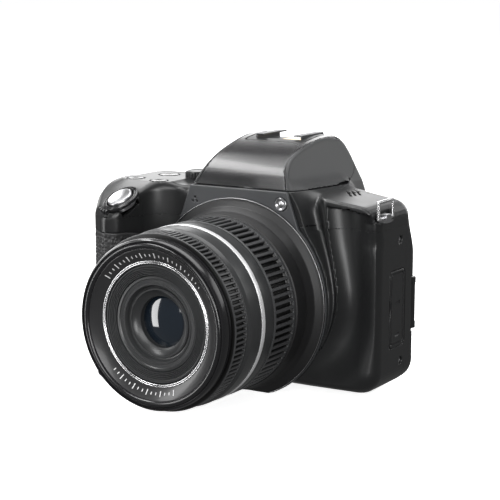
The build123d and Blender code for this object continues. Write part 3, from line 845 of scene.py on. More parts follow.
def paint_groove_shade(tree, place, shade, groove):
    """Paints shade into the ribs' grooves: the colour falls to near black between two distances from the lens
    axis.
    """
    flat = add_node(tree, "VectorMath")
    flat.operation = "MULTIPLY"
    flat.inputs[1].default_value = (1, 0, 1)
    tree.links.new(place, flat.inputs[0])
    reach = add_node(tree, "VectorMath")
    reach.operation = "DISTANCE"
    reach.inputs[1].default_value = (0, 0, LENS_Z * MM)
    tree.links.new(flat.outputs["Vector"], reach.inputs[0])
    fall = add_node(tree, "MapRange", From_Min=groove[0] * MM, From_Max=groove[1] * MM)
    tree.links.new(reach.outputs["Value"], fall.inputs["Value"])
    mix = mix_colours(tree, fall.outputs["Result"])
    # painted shade: the near-black colour at the bottom of the grooves
    mix.inputs[6].default_value = (0.002, 0.002, 0.002, 1)
    tree.links.new(shade.outputs[2], mix.inputs[7])
    return mix.outputs[2]


def make_materials():
    """Every finish by a short name."""
    dark = (0.0125, 0.013, 0.0135)
    return {
        "shell": plastic("shell_plastic", dark, 0.33, 0.10, 0.35),
        "plate": plastic("plate_plastic", (0.046, 0.048, 0.051), 0.46, 0.25, 0.25),
        "cheek": plastic("cheek_plastic", (0.030, 0.031, 0.032), 0.42, 0.2, 0.25),
        "gloss": plastic("gloss_plastic", (0.012, 0.012, 0.013), 0.25, 0.03, 0.3, 0.03, 0.2,
                         streak=(0.05, 1, 1)),
        "bezel": plastic("bezel_plastic", (0.022, 0.022, 0.023), 0.30, 0.12, 0.3, 0.03, 0.2),
        "rubber": plastic("grip_rubber", (0.040, 0.040, 0.041), 0.38, 0.25, 0.25, 0.06),
        "lens": plastic("lens_plastic", (0.030, 0.031, 0.032), 0.32, 0.15, 0.3),
        # the zoom and focus rib rings carry painted shade in their grooves
        "zoom": plastic("zoom_ribs", (0.050, 0.051, 0.053), 0.36, 0.15, 0.3,
                        groove=(ZOOM_R - 0.7, ZOOM_R - 0.15)),
        "focus": plastic("focus_ribs", (0.050, 0.051, 0.053), 0.36, 0.15, 0.3,
                         groove=(FOCUS_R - 0.55, FOCUS_R - 0.12)),
        "lens_gloss": plastic("lens_gloss", (0.010, 0.010, 0.011), 0.22, 0.05, 0.3, 0.03, 0.2),
        "control": plastic("control_plastic", (0.016, 0.016, 0.017), 0.30, 0.12, 0.3),
        "gloss_control": plastic("control_gloss", (0.013, 0.013, 0.014), 0.16, 0.05, 0.3),
        "skirt": plastic("skirt_plastic", (0.006, 0.006, 0.0065), 0.5, 0.05, 0.3),
        "accent": plastic("accent_silver", (0.93, 0.93, 0.94), 0.30, 0.04, 0.3, 0.05, metal=0.5),
        "inside": plastic("inside_plastic", (0.010, 0.010, 0.010), 0.6, 0.2, 0.4),
        "chrome": plastic("chrome", (0.80, 0.80, 0.81), 0.22, 0.01, 0.3, 0.03, metal=1.0),
        "silver": plastic("silver_plastic", (0.45, 0.45, 0.46), 0.30, 0.12, 0.2, metal=1.0),
        "sheet": plastic("sheet_metal", (0.16, 0.16, 0.165), 0.42, 0.15, 0.25, metal=1.0,
                         streak=(1, 0.05, 1)),
        "steel": plastic("steel", (0.45, 0.45, 0.46), 0.30, 0.15, 0.2, metal=1.0),
        "brass": plastic("brass", (0.70, 0.52, 0.24), 0.30, 0.1, 0.2, metal=1.0),
        "board": plastic("circuit_board", (0.01, 0.06, 0.03), 0.45, 0.2, 0.4),
        "sensor": plastic("sensor_glass", (0.03, 0.02, 0.05), 0.10, 0.02, 0.3, coat=0.6),
        "glass": plastic("lens_glass", (0.006, 0.011, 0.018), 0.03, 0.0, 0.3, 0.01, coat=1.0),
        "screen": plastic("screen_glass", (0.008, 0.009, 0.011), 0.07, 0.0, 0.3, 0.02, coat=1.0),
        "lamp": plastic("lamp_glass", (0.75, 0.75, 0.72), 0.10, 0.02, 0.3, 0.03, coat=0.6),
        "battery": plastic("battery_case", (0.05, 0.055, 0.06), 0.5, 0.2, 0.3),
        "mark": plastic("white_mark", (0.80, 0.80, 0.80), 0.45, 0.1, 0.2),
    }


# ---- lens ----

def ribbed(name, front, back, inner, radius, count, depth, samples, land, tooth):
    """A ring with ribs along the axis: grooves between flat lands, rounded at their ends."""
    turns = np.arange(count * samples) * 2 * math.pi / (count * samples)
    phase = np.abs(((turns * count / (2 * math.pi)) % 1.0) - 0.5) * 2
    groove = 1 - ease(phase, tooth - 0.1, tooth + 0.1)
    pitch = 2 * math.pi * radius / count
    profile = [(back, inner), (back, radius - 0.35)]
    profile.append((back - 0.12, radius - 0.1))
    profile.append((back - 0.35, radius))
    profile.append((back - land[1], radius))
    rows = 7
    half = pitch * 0.32
    for step in range(rows + 1):
        share = step / rows
        reach = half * (1 - math.cos(share * math.pi / 2))
        cut = groove * ease(share, 0, 0.7)
        profile.append((back - land[1] - 0.05 - reach - 0.25 * share, radius - depth * cut))
    front_end = front + land[0]
    profile.append((front_end + 0.5, radius - depth * groove))
    profile.append((front_end + 0.2, radius - depth * groove * 0.6))
    profile.append((front_end, radius))
    profile.append((front + 0.3, radius))
    profile.append((front + 0.08, radius - 0.1))
    profile.append((front, radius - 0.35))
    profile.append((front, inner))
    return new_object(name, ring_points(profile, turns), ring_faces(len(profile), len(turns)))


def make_lens(m):
    """The fixed barrel, its two turning grips and the parts at its front."""
    skirt = outline(
        [(SKIRT_BACK, TUBE_R), (SKIRT_BACK, FLANGE_R), (SKIRT_BACK - 0.6, FLANGE_R), (SKIRT_BACK - 1.0, 35.3),
         (SKIRT_BACK - 2.2, 33.3), (SKIRT_BACK - 5.5, 32.0), (SKIRT_FRONT + 0.3, ZOOM_R + 0.35),
         (SKIRT_FRONT, ZOOM_R - 0.2), (SKIRT_FRONT, TUBE_R)],
        [0.1, 0.2, 0.25, 0.4, 1.2, 3.0, 0.2, 0.1, 0.1], 4)
    piece = turned("lens_skirt_shell", skirt, 384)
    flatten_foot(piece)
    finish_piece(piece, "body", m["skirt"], ["lens_skirt"], 35)
    inner = TUBE_R + 0.1
    zoom = ribbed("zoom_grip", ZOOM_FRONT, ZOOM_BACK, inner, ZOOM_R, 76, 1.25, 16, (1.0, 1.3), 0.5)
    finish_piece(zoom, "zoom_ring", m["zoom"], ["zoom_ring"], 40)
    focus = ribbed("focus_grip", FOCUS_FRONT, FOCUS_BACK, inner, FOCUS_R, 104, 1.0, 12, (0.5, 0.5), 0.55)
    finish_piece(focus, "focus_ring", m["focus"], ["focus_ring"], 40)
    step_r = BAND_R - 0.7
    band = outline(
        [(BAND_BACK, TUBE_R), (BAND_BACK, BAND_R), (ACCENT_BACK, BAND_R), (ACCENT_BACK, step_r),
         (ACCENT_FRONT, step_r), (ACCENT_FRONT, BAND_R), (BAND_FRONT + 1.4, BAND_R),
         (BAND_FRONT, step_r), (BAND_FRONT, TUBE_R)],
        [0.1, 0.3, 0.1, 0.05, 0.05, 0.1, 0.8, 0.2, 0.1], 4)
    finish_piece(turned("barrel_band", band, 320), "body", m["lens"], ["mid_barrel"], 40)
    front, back, proud = ACCENT_FRONT - 0.4, ACCENT_BACK + 0.4, BAND_R + 0.12
    accent = outline([(back, step_r), (back, proud), (front, proud), (front, step_r)],
                     [0.05, 0.15, 0.15, 0.05], 4)
    finish_piece(turned("accent_band", accent, 320), "body", m["accent"], ["accent_ring"])
    edge_line = turned("skirt_trim", arc((SKIRT_BACK - 0.75, FLANGE_R - 0.2), 0.16, 0, 330, 10), 320)
    flatten_foot(edge_line)
    finish_piece(edge_line, "body", m["silver"])
    make_lens_front(m)
    make_lens_well(m)
    make_glass(m)


def flatten_foot(piece):
    """Cuts the ring's lowest part off level, just above the plane that the camera stands on."""
    for vertex in piece.data.vertices:
        vertex.co.z = max(vertex.co.z, 0.2 * MM)


def make_lens_front(m):
    """The front rim and, inside it, the sloped bezel with its marks and two bright lines."""
    y, back, r = RIM_FRONT, RIM_BACK, RIM_R
    rim = [(back, 26.0), (back, r - 0.3)]
    rim += [(back - 0.3, r), (y + 4.1, r), (y + 4.0, r - 0.35), (y + 3.6, r - 0.35), (y + 3.5, r)]
    rim += [(y + 1.0, r), (y + 0.45, r - 0.35), (y + 0.35, r - 0.75), (y + 0.9, r - 0.95)]
    rim += [(y + 0.9, r - 1.15)]
    rim += arc((y + 1.15, r - 2.25), 1.12, 75, 180, 10)
    rim += arc((y + 1.15, r - 2.25), 1.12, 190, 262, 7)
    rim += [(y + 2.4, 25.5), (y + 4.0, 25.6)]
    finish_piece(turned("rim_ring", rim, 320), "body", m["lens_gloss"], ["front_rim"], 35)
    bezel_back = span("name_bezel")[1][1]
    bezel = [(bezel_back, 25.9), (y + 0.85, 25.9), (y + 0.8, 25.6), (y + 3.1, 21.6), (y + 3.1, 20.4)]
    bezel += [(bezel_back, 20.4)]
    finish_piece(turned("scale_bezel", bezel, 320), "body", m["bezel"], ["name_bezel"], 30)
    for index, radius in enumerate((21.35, 20.75)):
        trim = turned(f"bezel_trim_{index + 1}", arc((y + 3.05, radius), 0.24, 0, 330, 12))
        finish_piece(trim, "body", m["chrome"])
    make_ticks(m, y + 0.8, 25.6, y + 3.1, 21.6)


def make_lens_well(m):
    """The stepped funnel round the front glass; each step is (distance behind its front, radius)."""
    front = span("lens_baffle")[0][1]
    steps = [(6.4, 20.2), (0.25, 20.2), (0, 20.0), (0.0, 19.6), (0.35, 19.4)]
    for index in range(5):
        radius, behind = 19.2 - 0.55 * index, 0.12 * index
        steps += [(0.4 + behind, radius), (0.12 + behind, radius - 0.18), (0.12 + behind, radius - 0.36)]
    steps += [(1.3, 16.4), (0.9, 16.1), (0.85, 15.4), (1.15, 15.1), (1.2, 13.9), (0.95, 13.7)]
    steps += [(0.95, 13.2), (1.4, 12.9), (2.6, 12.5), (2.7, 12.1), (2.2, 11.8), (2.2, 11.3)]
    steps += [(2.7, 11.0), (3.9, 9.6), (4.2, 8.9), (6.4, 8.8)]
    well = turned("lens_well", [(front + behind, radius) for behind, radius in steps], 320)
    finish_piece(well, "zoom_carriage", m["lens"], ["lens_baffle"], 30)


def make_ticks(m, outer_y, outer_r, inner_y, inner_r):
    """Generic index marks on the bezel's cone, in an arc at the top and one at the bottom."""
    vertices, faces = [], []
    turns = [math.radians(-52 + 4.5 * i) for i in range(24)]
    turns += [math.radians(160 + 4.5 * i) for i in range(15)]
    slope = math.hypot(outer_y - inner_y, outer_r - inner_r)
    for index, turn in enumerate(turns):
        near, far = (0.3, 0.74) if index % 3 == 0 else (0.42, 0.62)
        for share in (near, far):
            y = outer_y + (inner_y - outer_y) * share
            r = outer_r + (inner_r - outer_r) * share
            for lift in (-0.05, 0.07):
                r_up = r - lift * (inner_y - outer_y) / slope
                y_up = y - lift * (outer_r - inner_r) / slope
                for side in (-0.16, 0.16):
                    angle = turn + side / r_up
                    vertices.append((r_up * math.sin(angle), y_up, LENS_Z + r_up * math.cos(angle)))
        a = len(vertices) - 8
        faces += [[a, a + 1, a + 3, a + 2], [a + 4, a + 6, a + 7, a + 5], [a, a + 2, a + 6, a + 4],
                  [a + 1, a + 5, a + 7, a + 3], [a, a + 4, a + 5, a + 1], [a + 2, a + 3, a + 7, a + 6]]
    ticks = new_object("bezel_marks", vertices, faces)
    finish_piece(ticks, "body", m["mark"], sharp=20)


def make_glass(m):
    """The front element: a shallow dome with a flat back."""
    low, high = span("front_element")
    edge, sag, rings = 8.8, 1.85, 16
    dome = [(high[1], 0.01), (high[1], edge), (low[1] + 1.9, edge)]
    radius = (edge ** 2 + sag ** 2) / (2 * sag)
    for step in range(1, rings + 1):
        r = edge * (1 - step / rings)
        dome.append((low[1] + radius - math.sqrt(radius ** 2 - r ** 2), max(r, 0.01)))
    glass = turned("front_glass", dome, 128)
    finish_piece(glass, "zoom_carriage", m["glass"], ["front_element"], 50)


# ---- controls ----

def spun(name, origin, axis, profile, count=96):
    """A body of revolution about any axis from (height, radius) points.

    A radius may be a function of the turn, which makes teeth and knurls."""
    axis = np.array(axis, float) / np.linalg.norm(axis)
    helper = np.array([1.0, 0, 0]) if abs(axis[0]) < 0.8 else np.array([0, 0, 1.0])
    across = np.cross(axis, helper)
    across /= np.linalg.norm(across)
    beside = np.cross(axis, across)
    turns = np.arange(count) * 2 * math.pi / count
    rows = []
    for height, radius in profile:
        reach = radius(turns) if callable(radius) else np.full(count, float(radius))
        ring = np.outer(reach * np.cos(turns), across) + np.outer(reach * np.sin(turns), beside)
        rows.append(np.array(origin) + height * axis + ring)
    faces = [face[::-1] for face in ring_faces(len(profile), count, False)]
    faces.append(list(range(count)))
    faces.append(list(range(len(profile) * count - 1, (len(profile) - 1) * count - 1, -1)))
    return new_object(name, np.concatenate(rows), faces)


def toothed(radius, depth, teeth):
    """A radius that dips between teeth."""
    return lambda turns: radius - depth * (0.5 - 0.5 * np.cos(teeth * turns)) ** 2


def button_profile(low, high, radius, dish=0.35, lip=0.5):
    """A round button: straight side, rounded lip and a dished top."""
    points = [(low, 0.02), (low, radius)]
    points += [(high - 0.55, radius), (high - 0.25, radius - 0.09), (high - 0.08, radius - 0.28)]
    points += [(high, radius - lip), (high - 0.05, radius - lip - 0.2)]
    for share in (0.8, 0.6, 0.4, 0.2, 0.01):
        points.append((high - dish * (1 - share ** 2), share * (radius - lip - 0.2)))
    return points


def make_caps(m, nodes, axis, dish):
    """Round dished buttons that stand along the y axis (1) or the z axis (2)."""
    for node in nodes:
        low, high = span(node)
        origin, radius = round_size(node)
        origin[axis] = 0
        profile = button_profile(low[axis], high[axis], radius, dish, 0.6)
        piece = spun(node + "_cap", origin, np.eye(3)[axis], profile)
        finish_piece(piece, node, m["gloss_control"], [node], 35)


def make_deck_controls(m):
    """Shutter button, zoom lever, mode dial and the three round buttons of the deck."""
    button = spun("release_button", SHUTTER_FACE, SHUTTER_LEAN, button_profile(-2.0, 2.1, 4.85, 0.6))
    finish_piece(button, "shutter_button", m["silver"], ["shutter_button"], 35)
    lever = carve("zoom_rocker", lever_field, (-52.5, -44.0, 58.0), (-33.0, -25.0, 74.0), 0.24)
    finish_piece(lever, "zoom_lever", m["gloss_control"], ["zoom_lever"])
    centre, radius = round_size("mode_dial")
    foot, top = span("mode_dial")[0][2], span("mode_dial")[1][2]
    rim = toothed(radius, 0.34, 28)
    dial = [(foot, 0.02), (foot, 2.05), (DECK_Z + 0.25, 2.05), (DECK_Z + 0.25, radius - 0.5)]
    dial += [(DECK_Z + 0.45, radius - 0.12), (DECK_Z + 0.6, rim), (top - 0.7, rim)]
    dial += [(top - 0.5, radius - 0.1), (top - 0.15, radius - 0.35), (top, radius - 0.7)]
    dial += [(top, radius - 1.1), (top - 0.2, radius - 1.25), (top - 0.2, 0.02)]
    piece = spun("mode_knob", (centre[0], centre[1], 0), (0, 0, 1), dial, 28 * 8)
    finish_piece(piece, "mode_dial", m["control"], ["mode_dial"], 30)
    make_caps(m, ("power_button", "drive_button", "record_button"), 2, 0.3)


def lever_field(x, y, z):
    """The ring round the shutter button, with a groove and a toothed finger tab."""
    u, v, w = shutter_frame(x, y, z)
    reach = np.hypot(u, v)
    ring = common(reach - 7.1, slab(w, 0.06, 1.35), 0.4)
    turn = np.arctan2(v, u) - math.radians(238)
    turn = (turn + math.pi) % (2 * math.pi) - math.pi
    tab = np.maximum(np.abs(turn) * 8.0 - 3.2, reach - 8.6)
    tab = common(tab, slab(w, 0.06, 1.6), 0.25)
    teeth = np.maximum(0.35 - np.abs((turn * 8.0 + 0.8) % 1.6 - 0.8), 7.5 - reach)
    tab = common(tab, teeth, 0.12)
    piece = union(ring, tab, 0.3)
    piece = less(piece, np.maximum(np.abs(reach - 6.3) - 0.2, 1.0 - w), 0.08)
    return less(piece, reach - 5.35, 0.2)


def make_lamp(m):
    """The autofocus lamp: a bright cone round a small lens."""
    centre, radius = round_size("af_lamp")
    top, foot = -span("af_lamp")[0][1], -span("af_lamp")[1][1]
    cup = [(foot, 0.02), (foot, radius), (top - 0.1, radius), (top, radius - 0.12)]
    cup += [(top, radius - 0.4), (top - 0.5, radius - 0.95), (top - 0.5, radius - 1.1), (top - 0.25, 0.8)]
    cup += [(top - 0.12, 0.45), (top - 0.08, 0.02)]
    piece = spun("focus_lamp", (centre[0], 0, centre[2]), (0, -1, 0), cup)
    finish_piece(piece, "body", m["silver"], ["af_lamp"], 30)


def make_back_controls(m):
    """What the back, the side and the base carry: buttons, screen, doors, eyecup and shoe."""
    make_caps(m, ("playback_button", "menu_button", "ok_button"), 1, 0.2)
    fields = (
        ("thumb_pad", thumb_field, "thumb_rubber", "body", "rubber", "rubber", 0.4),
        ("four_way_pad", pad_field, "d_pad", "d_pad", "control_plastic", "gloss_control", 0.3),
        ("screen_frame", screen_frame_field, "lcd_frame", "screen", "control_plastic", "shell", 0.45),
        ("screen_arm", screen_arm_field, "lcd_arm", "screen", "control_plastic", "shell", 0.3),
        ("socket_door", port_door_field, "port_door", "port_door", "shell_plastic", "shell", 0.3),
        ("cell_door", battery_door_field, "battery_door", "battery_door", "shell_plastic", "shell", 0.35),
        ("eye_cushion", eyecup_field, "eyecup", "body", "rubber", "rubber", 0.35),
        ("shoe_channel", rails_field, "shoe_rails", "body", "sheet_metal", "sheet", 0.2),
    )
    for name, field, node, body, slot, material, step in fields:
        low, high = span(node)
        finish_piece(carve(name, field, low, high, step), body, m[material], [node])
    make_diopter(m)
    make_screws(m)


def make_diopter(m):
    """The toothed wheel beside the eyepiece, on its short shaft."""
    centre, radius = round_size("diopter_dial", 2)
    left, right = span("diopter_dial")[0][0], span("diopter_dial")[1][0]
    rim = toothed(radius, 0.3, 30)
    wheel = [(left, 0.02), (left, radius - 0.9), (left + 0.3, radius - 0.3), (left + 0.5, rim)]
    wheel += [(left + 2.9, rim), (left + 3.1, radius - 0.3), (left + 3.4, radius - 0.9)]
    wheel += [(left + 3.4, 1.2), (right, 1.15), (right, 0.02)]
    piece = spun("diopter_wheel", (0, centre[1], centre[2]), (1, 0, 0), wheel, 240)
    finish_piece(piece, "diopter_dial", m["control"], ["diopter_dial"], 30)


def thumb_field(x, y, z):
    """A rubber rest with slanted ribs."""
    low, high = span("thumb_rubber")
    shape = outline([(-56, 51), (-37, 51), (-33, 66), (-53.5, 66)], [4, 3, 4, 5])
    edge = polygon(x, z, shape)
    ribs = 0.35 * (0.5 + 0.5 * np.cos((x * 0.5 + z * 0.87) * 2 * math.pi / 2.0)) * ease(-edge, 0.6, 1.4)
    return common(edge, slab(y, low[1] - 0.3, high[1] - ribs), 0.5)


def pad_field(x, y, z):
    """The four-way ring with small dimples at its four sides."""
    low, high = span("d_pad")
    centre, radius = round_size("d_pad")
    u, v = x - centre[0], z - centre[2]
    reach = np.hypot(u, v)
    sag = 0.35 * ease(np.abs(reach - 0.74 * radius), 0.0, 2.2)
    piece = common(reach - radius, slab(y, low[1], high[1] - 0.35 + sag), 0.3)
    piece = less(piece, reach - 4.6, 0.25)
    for du, dv in ((1, 0), (-1, 0), (0, 1), (0, -1)):
        mark = np.hypot(u - du * 7.2, v - dv * 7.2) - 0.45
        piece = less(piece, np.maximum(mark, high[1] - 0.6 - y), 0.1)
    return piece


def screen_frame_field(x, y, z):
    """The screen's frame: a rounded slab with a stepped bezel and finger scallops."""
    low, high = span("lcd_frame")
    glass_low, glass_high = span("lcd_glass")
    edge = polygon(x, z, rounded((low[0], high[0]), (low[2], high[2]), [2.5] * 4))
    piece = common(edge, slab(y, low[1], high[1]), 0.6)
    bed = box_field(x, y, z, (glass_low[0], glass_high[0]), (glass_low[1], FAR),
                    (glass_low[2], glass_high[2]), 0.3)
    piece = less(piece, bed, 0.15)
    arm_low, arm_high = span("lcd_arm")
    notch = box_field(x, y, z, (high[0] - 1.3, FAR), (0, FAR), (arm_low[2] + 0.7, arm_high[2] - 0.7), 0.3)
    piece = less(piece, notch, 0.15)
    tab = box_field(x, y, z, (low[0] - 2, low[0] + 1.0), (low[1] - 1, low[1] + 1.6), (25, 39), 0.6)
    piece = less(piece, tab, 0.3)
    for index in range(6):
        rib = box_field(x, y, z, (low[0] + 4, high[0] - 6), (0, low[1] + 0.35),
                        (14 + 7 * index, 14.8 + 7 * index), 0.2)
        piece = less(piece, rib, 0.1)
    return piece


def screen_arm_field(x, y, z):
    """The hinge barrel, ribbed at its ends, with the neck that holds the screen."""
    low, high = span("lcd_arm")
    axis_x, axis_y = high[0] - 2.4, (low[1] + high[1]) / 2
    reach = np.hypot(x - axis_x, y - axis_y)
    collar = 0.18 * ease(np.abs(z - (low[2] + high[2]) / 2), 7.0, 7.3)
    barrel = common(reach - 2.22 - collar, slab(z, low[2], high[2]), 0.35)
    neck = box_field(x, y, z, (low[0], axis_x), (axis_y - 1.95, axis_y + 1.85),
                     (low[2] + 1, high[2] - 1), 0.6)
    return less(union(barrel, neck, 0.6), reach - 1.06, 0.1)


def port_door_field(x, y, z):
    """A flush door with a finger notch and two generic socket marks."""
    low, high = span("port_door")
    edge = polygon(y, z, rounded((low[1], high[1]), (low[2], high[2]), [2.0] * 4))
    piece = common(edge, slab(x, low[0], high[0]), 0.35)
    groove = np.abs(edge + 1.3) - 0.16
    piece = less(piece, np.maximum(groove, high[0] - 0.28 - x), 0.08)
    middle_y = (low[1] + high[1]) / 2
    for z_at, half in ((23.0, 1.5), (34.5, 2.1)):
        mark = box_field(x, y, z, (high[0] - 0.3, FAR), (middle_y - half, middle_y + half),
                         (z_at - 0.55, z_at + 0.55), 0.2)
        piece = less(piece, mark, 0.08)
    notch = np.hypot(y - low[1] + 0.6, (z - (low[2] + high[2]) / 2) * 0.4) - 1.5
    return less(piece, np.maximum(notch, high[0] - 0.6 - x), 0.15)


def battery_door_field(x, y, z):
    """The battery door with a recessed border and a ribbed sliding catch."""
    low, high = span("battery_door")
    edge = polygon(x, y, rounded((low[0], high[0]), (low[1], high[1]), [2.0] * 4))
    piece = common(edge, slab(z, low[2], high[2]), 0.3)
    piece = less(piece, np.maximum(np.abs(edge + 1.5) - 0.2, z - low[2] - 0.3), 0.08)
    middle_x = (low[0] + high[0]) / 2
    catch = box_field(x, y, z, (middle_x - 4, middle_x + 4), (low[1] + 3, low[1] + 8),
                      (-5, low[2] + 0.45), 0.5)
    ribs = np.maximum(0.3 - np.abs((y - low[1]) % 1.2 - 0.6), low[2] + 0.2 - z)
    piece = less(piece, np.maximum(catch, ribs), 0.1)
    hole = np.hypot(y - high[1] + 1.0, z - 0.9) - 0.5
    return less(piece, hole, 0.05)


def eyecup_field(x, y, z):
    """A soft cushion round the eyepiece, with a groove round its side."""
    low, high = span("eyecup")
    outer = polygon(x, z, outline([(-16, 62.8), (16, 62.8), (13.5, 81.4), (-13.5, 81.4)], [5, 5, 6, 6]))
    hole = polygon(x, z, rounded((-9, 9), (66, 77.6), [3] * 4))
    flare = 1.3 * ease(high[1] - y, 0.0, 2.4)
    groove = 0.45 * (1 - ease(np.abs(y - low[1] - 0.9), 0.2, 0.5))
    piece = common(outer + groove, slab(y, low[1], high[1]), 0.9)
    return less(piece, hole - 1.2 + flare, 0.5)


def rails_field(x, y, z):
    """The folded metal shoe: floor, walls and lips, with sprung tongues in the floor."""
    low, high = span("shoe_rails")
    floor_top, wall_in, lip_in = low[2] + 0.4, high[0] - 0.5, 6.3
    floor = box_field(x, y, z, (low[0], high[0]), (low[1], high[1]), (low[2], floor_top), 0.12)
    side = np.abs(x)
    wall = box_field(side, y, z, (wall_in, high[0]), (low[1], high[1]), (low[2], high[2]), 0.15)
    lip = box_field(side, y, z, (lip_in, high[0]), (low[1], high[1]), (high[2] - 0.6, high[2]), 0.15)
    piece = np.minimum(np.minimum(floor, wall), lip)
    window = box_field(x, y, z, (-4.0, 4.0), (13, 22), (80, floor_top + 1), 0.1)
    piece = less(piece, window, 0.05)
    slit = np.maximum(np.abs(side - 7.6) - 0.2, slab(y, low[1] + 3, high[1] - 3))
    return less(piece, np.maximum(slit, z - floor_top - 0.3), 0.05)


def make_screws(m):
    """Screw heads with a cross recess, one mesh for all of them."""
    vertices, faces = [], []
    for x_at, y_at in ((-30, -3), (34, -3), (14, 1), (-14, 1)):
        rise = 0.095 * max(x_at - 24, 0)
        add_screw(vertices, faces, (x_at, y_at, 2.4 + rise), (0, 0, -1), 1.5)
    for y_at, z_at in SIDE_SCREWS:
        add_screw(vertices, faces, (52.2, y_at, z_at), (1, 0, 0), 1.3)
    piece = new_object("screw_heads", vertices, faces)
    finish_piece(piece, "body", m["steel"], ["screws"], 30)


def add_screw(vertices, faces, origin, axis, radius):
    """One head: a low dome whose middle sinks into a four-pointed recess."""
    count, height = 48, 2.2 if radius > 1.4 else 1.75
    axis = np.array(axis, float)
    across = np.array([0, 1.0, 0])
    beside = np.cross(axis, across)
    turns = np.arange(count) * 2 * math.pi / count
    cross_reach = 0.3 + 0.38 * np.abs(np.cos(2 * turns)) ** 3
    rows = [(0.0, np.full(count, radius)), (height - 0.35, np.full(count, radius)),
            (height - 0.08, np.full(count, radius - 0.22)), (height, np.full(count, radius - 0.5)),
            (height, cross_reach * 1.05), (height - 0.6, cross_reach * 0.7)]
    start = len(vertices)
    for level, reach in rows:
        for turn, r in zip(turns, reach):
            offset = across * r * math.cos(turn) + beside * r * math.sin(turn)
            vertices.append(np.array(origin) + axis * level + offset)
    for row in range(len(rows) - 1):
        for index in range(count):
            after = (index + 1) % count
            a, b = start + row * count, start + (row + 1) * count
            faces.append([a + index, a + after, b + after, b + index])
    faces.append([start + i for i in range(count)][::-1])
    last = start + (len(rows) - 1) * count
    faces.append([last + i for i in range(count)])


# ---- body pieces ----

def make_covers(m):
    """The covers of the body and of the flash head, each contoured inside its CAD node's box."""
    parts = (
        ("top_shell", top_cover_field, "top_cover", "shell_plastic", "shell", 0.6),
        ("front_shell", front_cover_field, "front_cover", "shell_plastic", "shell", 0.5),
        ("base_shell", base_cover_field, "base_cover", "shell_plastic", "shell", 0.6),
        ("rear_shell", rear_cover_field, "rear_cover", "shell_plastic", "shell", 0.65),
        ("tower_plate", plate_piece_field, "front_plate", "plate_plastic", "plate", 0.45),
        ("flash_bonnet", strip_field, "flash_strip", "gloss_plastic", "gloss", 0.5),
        ("flash_sides", cheek_field, "flash_cheeks", "shell_plastic", "cheek", 0.5),
        ("shoe_mount", island_field, "shoe_island", "shell_plastic", "shell", 0.5),
    )
    for name, field, node, slot, material, step in parts:
        low, high = span(node)
        piece = carve(name, field, low, high, step, None if node == "front_plate" else body_form)
        body = "flash_head" if node.startswith("flash_") else "body"
        finish_piece(piece, body, m[material], [node])


CAD_FINISH = {
    "chassis": "inside", "main_board": "board", "image_sensor": "sensor", "battery_box": "inside",
    "battery": "battery", "memory_card": "battery", "tripod_socket": "steel", "strap_lugs": "steel",
    "lug_ring_right": "chrome", "lug_ring_left": "chrome", "shoe_contacts": "brass",
    "flash_reflector": "chrome", "flash_window": "lamp", "flash_tube": "lamp", "hinge_pins": "steel",
    "evf_module": "inside", "eyepiece_lens": "glass", "lens_tube": "lens", "zoom_carriage": "inside",
    "rear_group": "glass", "lcd_glass": "screen", "port_sockets": "steel",
}


def finish_cad(m):
    """Gives the CAD nodes that stay their own finishes."""
    for node, name in CAD_FINISH.items():
        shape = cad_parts[node]
        shape.data.materials.clear()
        shape.data.materials.append(m[name])


# ---- studio ----

def soft_light(name, place, aim, size, power):
    """A square-cornered soft box at a place, aimed at a point."""
    data = bpy.data.lights.new(name, "AREA")
    data.shape = "RECTANGLE"
    data.size, data.size_y = size
    data.energy = power
    lamp = bpy.data.objects.new(name, data)
    lamp.location = place
    direction = np.array(aim, float) - np.array(place, float)
    lamp.rotation_euler = Vector(direction).to_track_quat("-Z", "Y").to_euler()
    lamp.visible_camera = False
    bpy.context.scene.collection.objects.link(lamp)


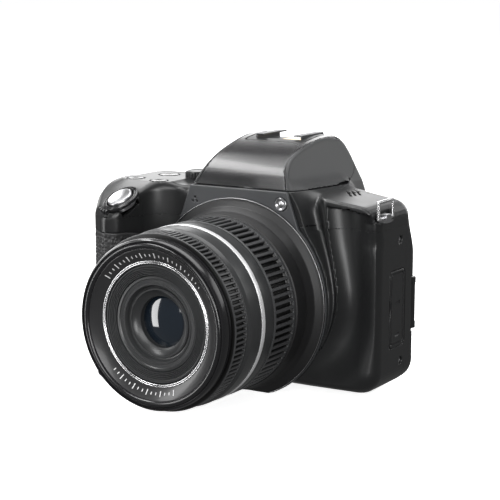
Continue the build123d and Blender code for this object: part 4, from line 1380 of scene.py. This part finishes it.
def make_stage():
    """A plain pale floor that lights nothing, and an even pale world."""
    mesh = bpy.data.meshes.new("studio_floor")
    half = 40.0
    corners = [(-half, -half, 0), (half, -half, 0), (half, half, 0), (-half, half, 0)]
    mesh.from_pydata(corners, [], [(0, 1, 2, 3)])
    floor = bpy.data.objects.new("studio_floor", mesh)
    floor.location.z = -0.0002
    bpy.context.scene.collection.objects.link(floor)
    paper = bpy.data.materials.new("floor_paper")
    paper.use_nodes = True
    shader = paper.node_tree.nodes["Principled BSDF"]
    shader.inputs["Base Color"].default_value = (0.9, 0.9, 0.9, 1)
    shader.inputs["Roughness"].default_value = 0.9
    shader.inputs["Emission Color"].default_value = (1, 1, 1, 1)
    shader.inputs["Emission Strength"].default_value = 0.86
    mesh.materials.append(paper)
    floor.visible_glossy = False
    floor.visible_diffuse = False
    world = bpy.data.worlds.new("studio")
    bpy.context.scene.world = world
    world.use_nodes = True
    world.node_tree.nodes["Background"].inputs["Color"].default_value = (1, 1, 1, 1)
    world.node_tree.nodes["Background"].inputs["Strength"].default_value = 0.16
    bpy.context.scene.view_settings.view_transform = "Standard"


def make_lights():
    """Seven soft boxes; the backdrop and the overhead give the long highlights."""
    soft_light("overhead", (0.0, 0.3, 1.3), (0, 0, 0.05), (1.4, 0.9), 14)
    soft_light("backdrop", (-0.9, 1.9, 0.5), (0, 0, 0.05), (3.4, 1.0), 27)
    soft_light("band", (-0.62, -0.22, 1.02), (0, 0, 0.07), (1.8, 0.2), 14)
    soft_light("right_back", (0.95, 1.0, 0.72), (0, 0, 0.06), (0.9, 0.7), 4)
    soft_light("right_front", (0.95, -0.95, 0.22), (0, 0, 0.05), (0.34, 0.6), 7)
    soft_light("front_fill", (0.35, -1.25, 0.55), (0, 0, 0.05), (0.8, 0.7), 8)
    soft_light("left_soft", (-0.95, -0.8, 0.12), (0, 0, 0.04), (0.32, 1.1), 7)


def make_camera():
    """A long lens, above the camera's left-hand front corner."""
    data = bpy.data.cameras.new("camera")
    data.lens = 108
    data.sensor_width = 36
    camera = bpy.data.objects.new("camera", data)
    place, aim = Vector((0.2842, -0.470, 0.1468)), Vector((0.00573, -0.022, 0.0518))
    camera.location = place
    camera.rotation_euler = (aim - place).to_track_quat("-Z", "Y").to_euler()
    bpy.context.scene.collection.objects.link(camera)
    bpy.context.scene.camera = camera


def main():
    make_camera()
    make_stage()
    make_lights()
    materials = make_materials()
    finish_cad(materials)
    make_lens(materials)
    make_covers(materials)
    make_grip_rubber(materials)
    make_deck_controls(materials)
    make_lamp(materials)
    make_back_controls(materials)


main()
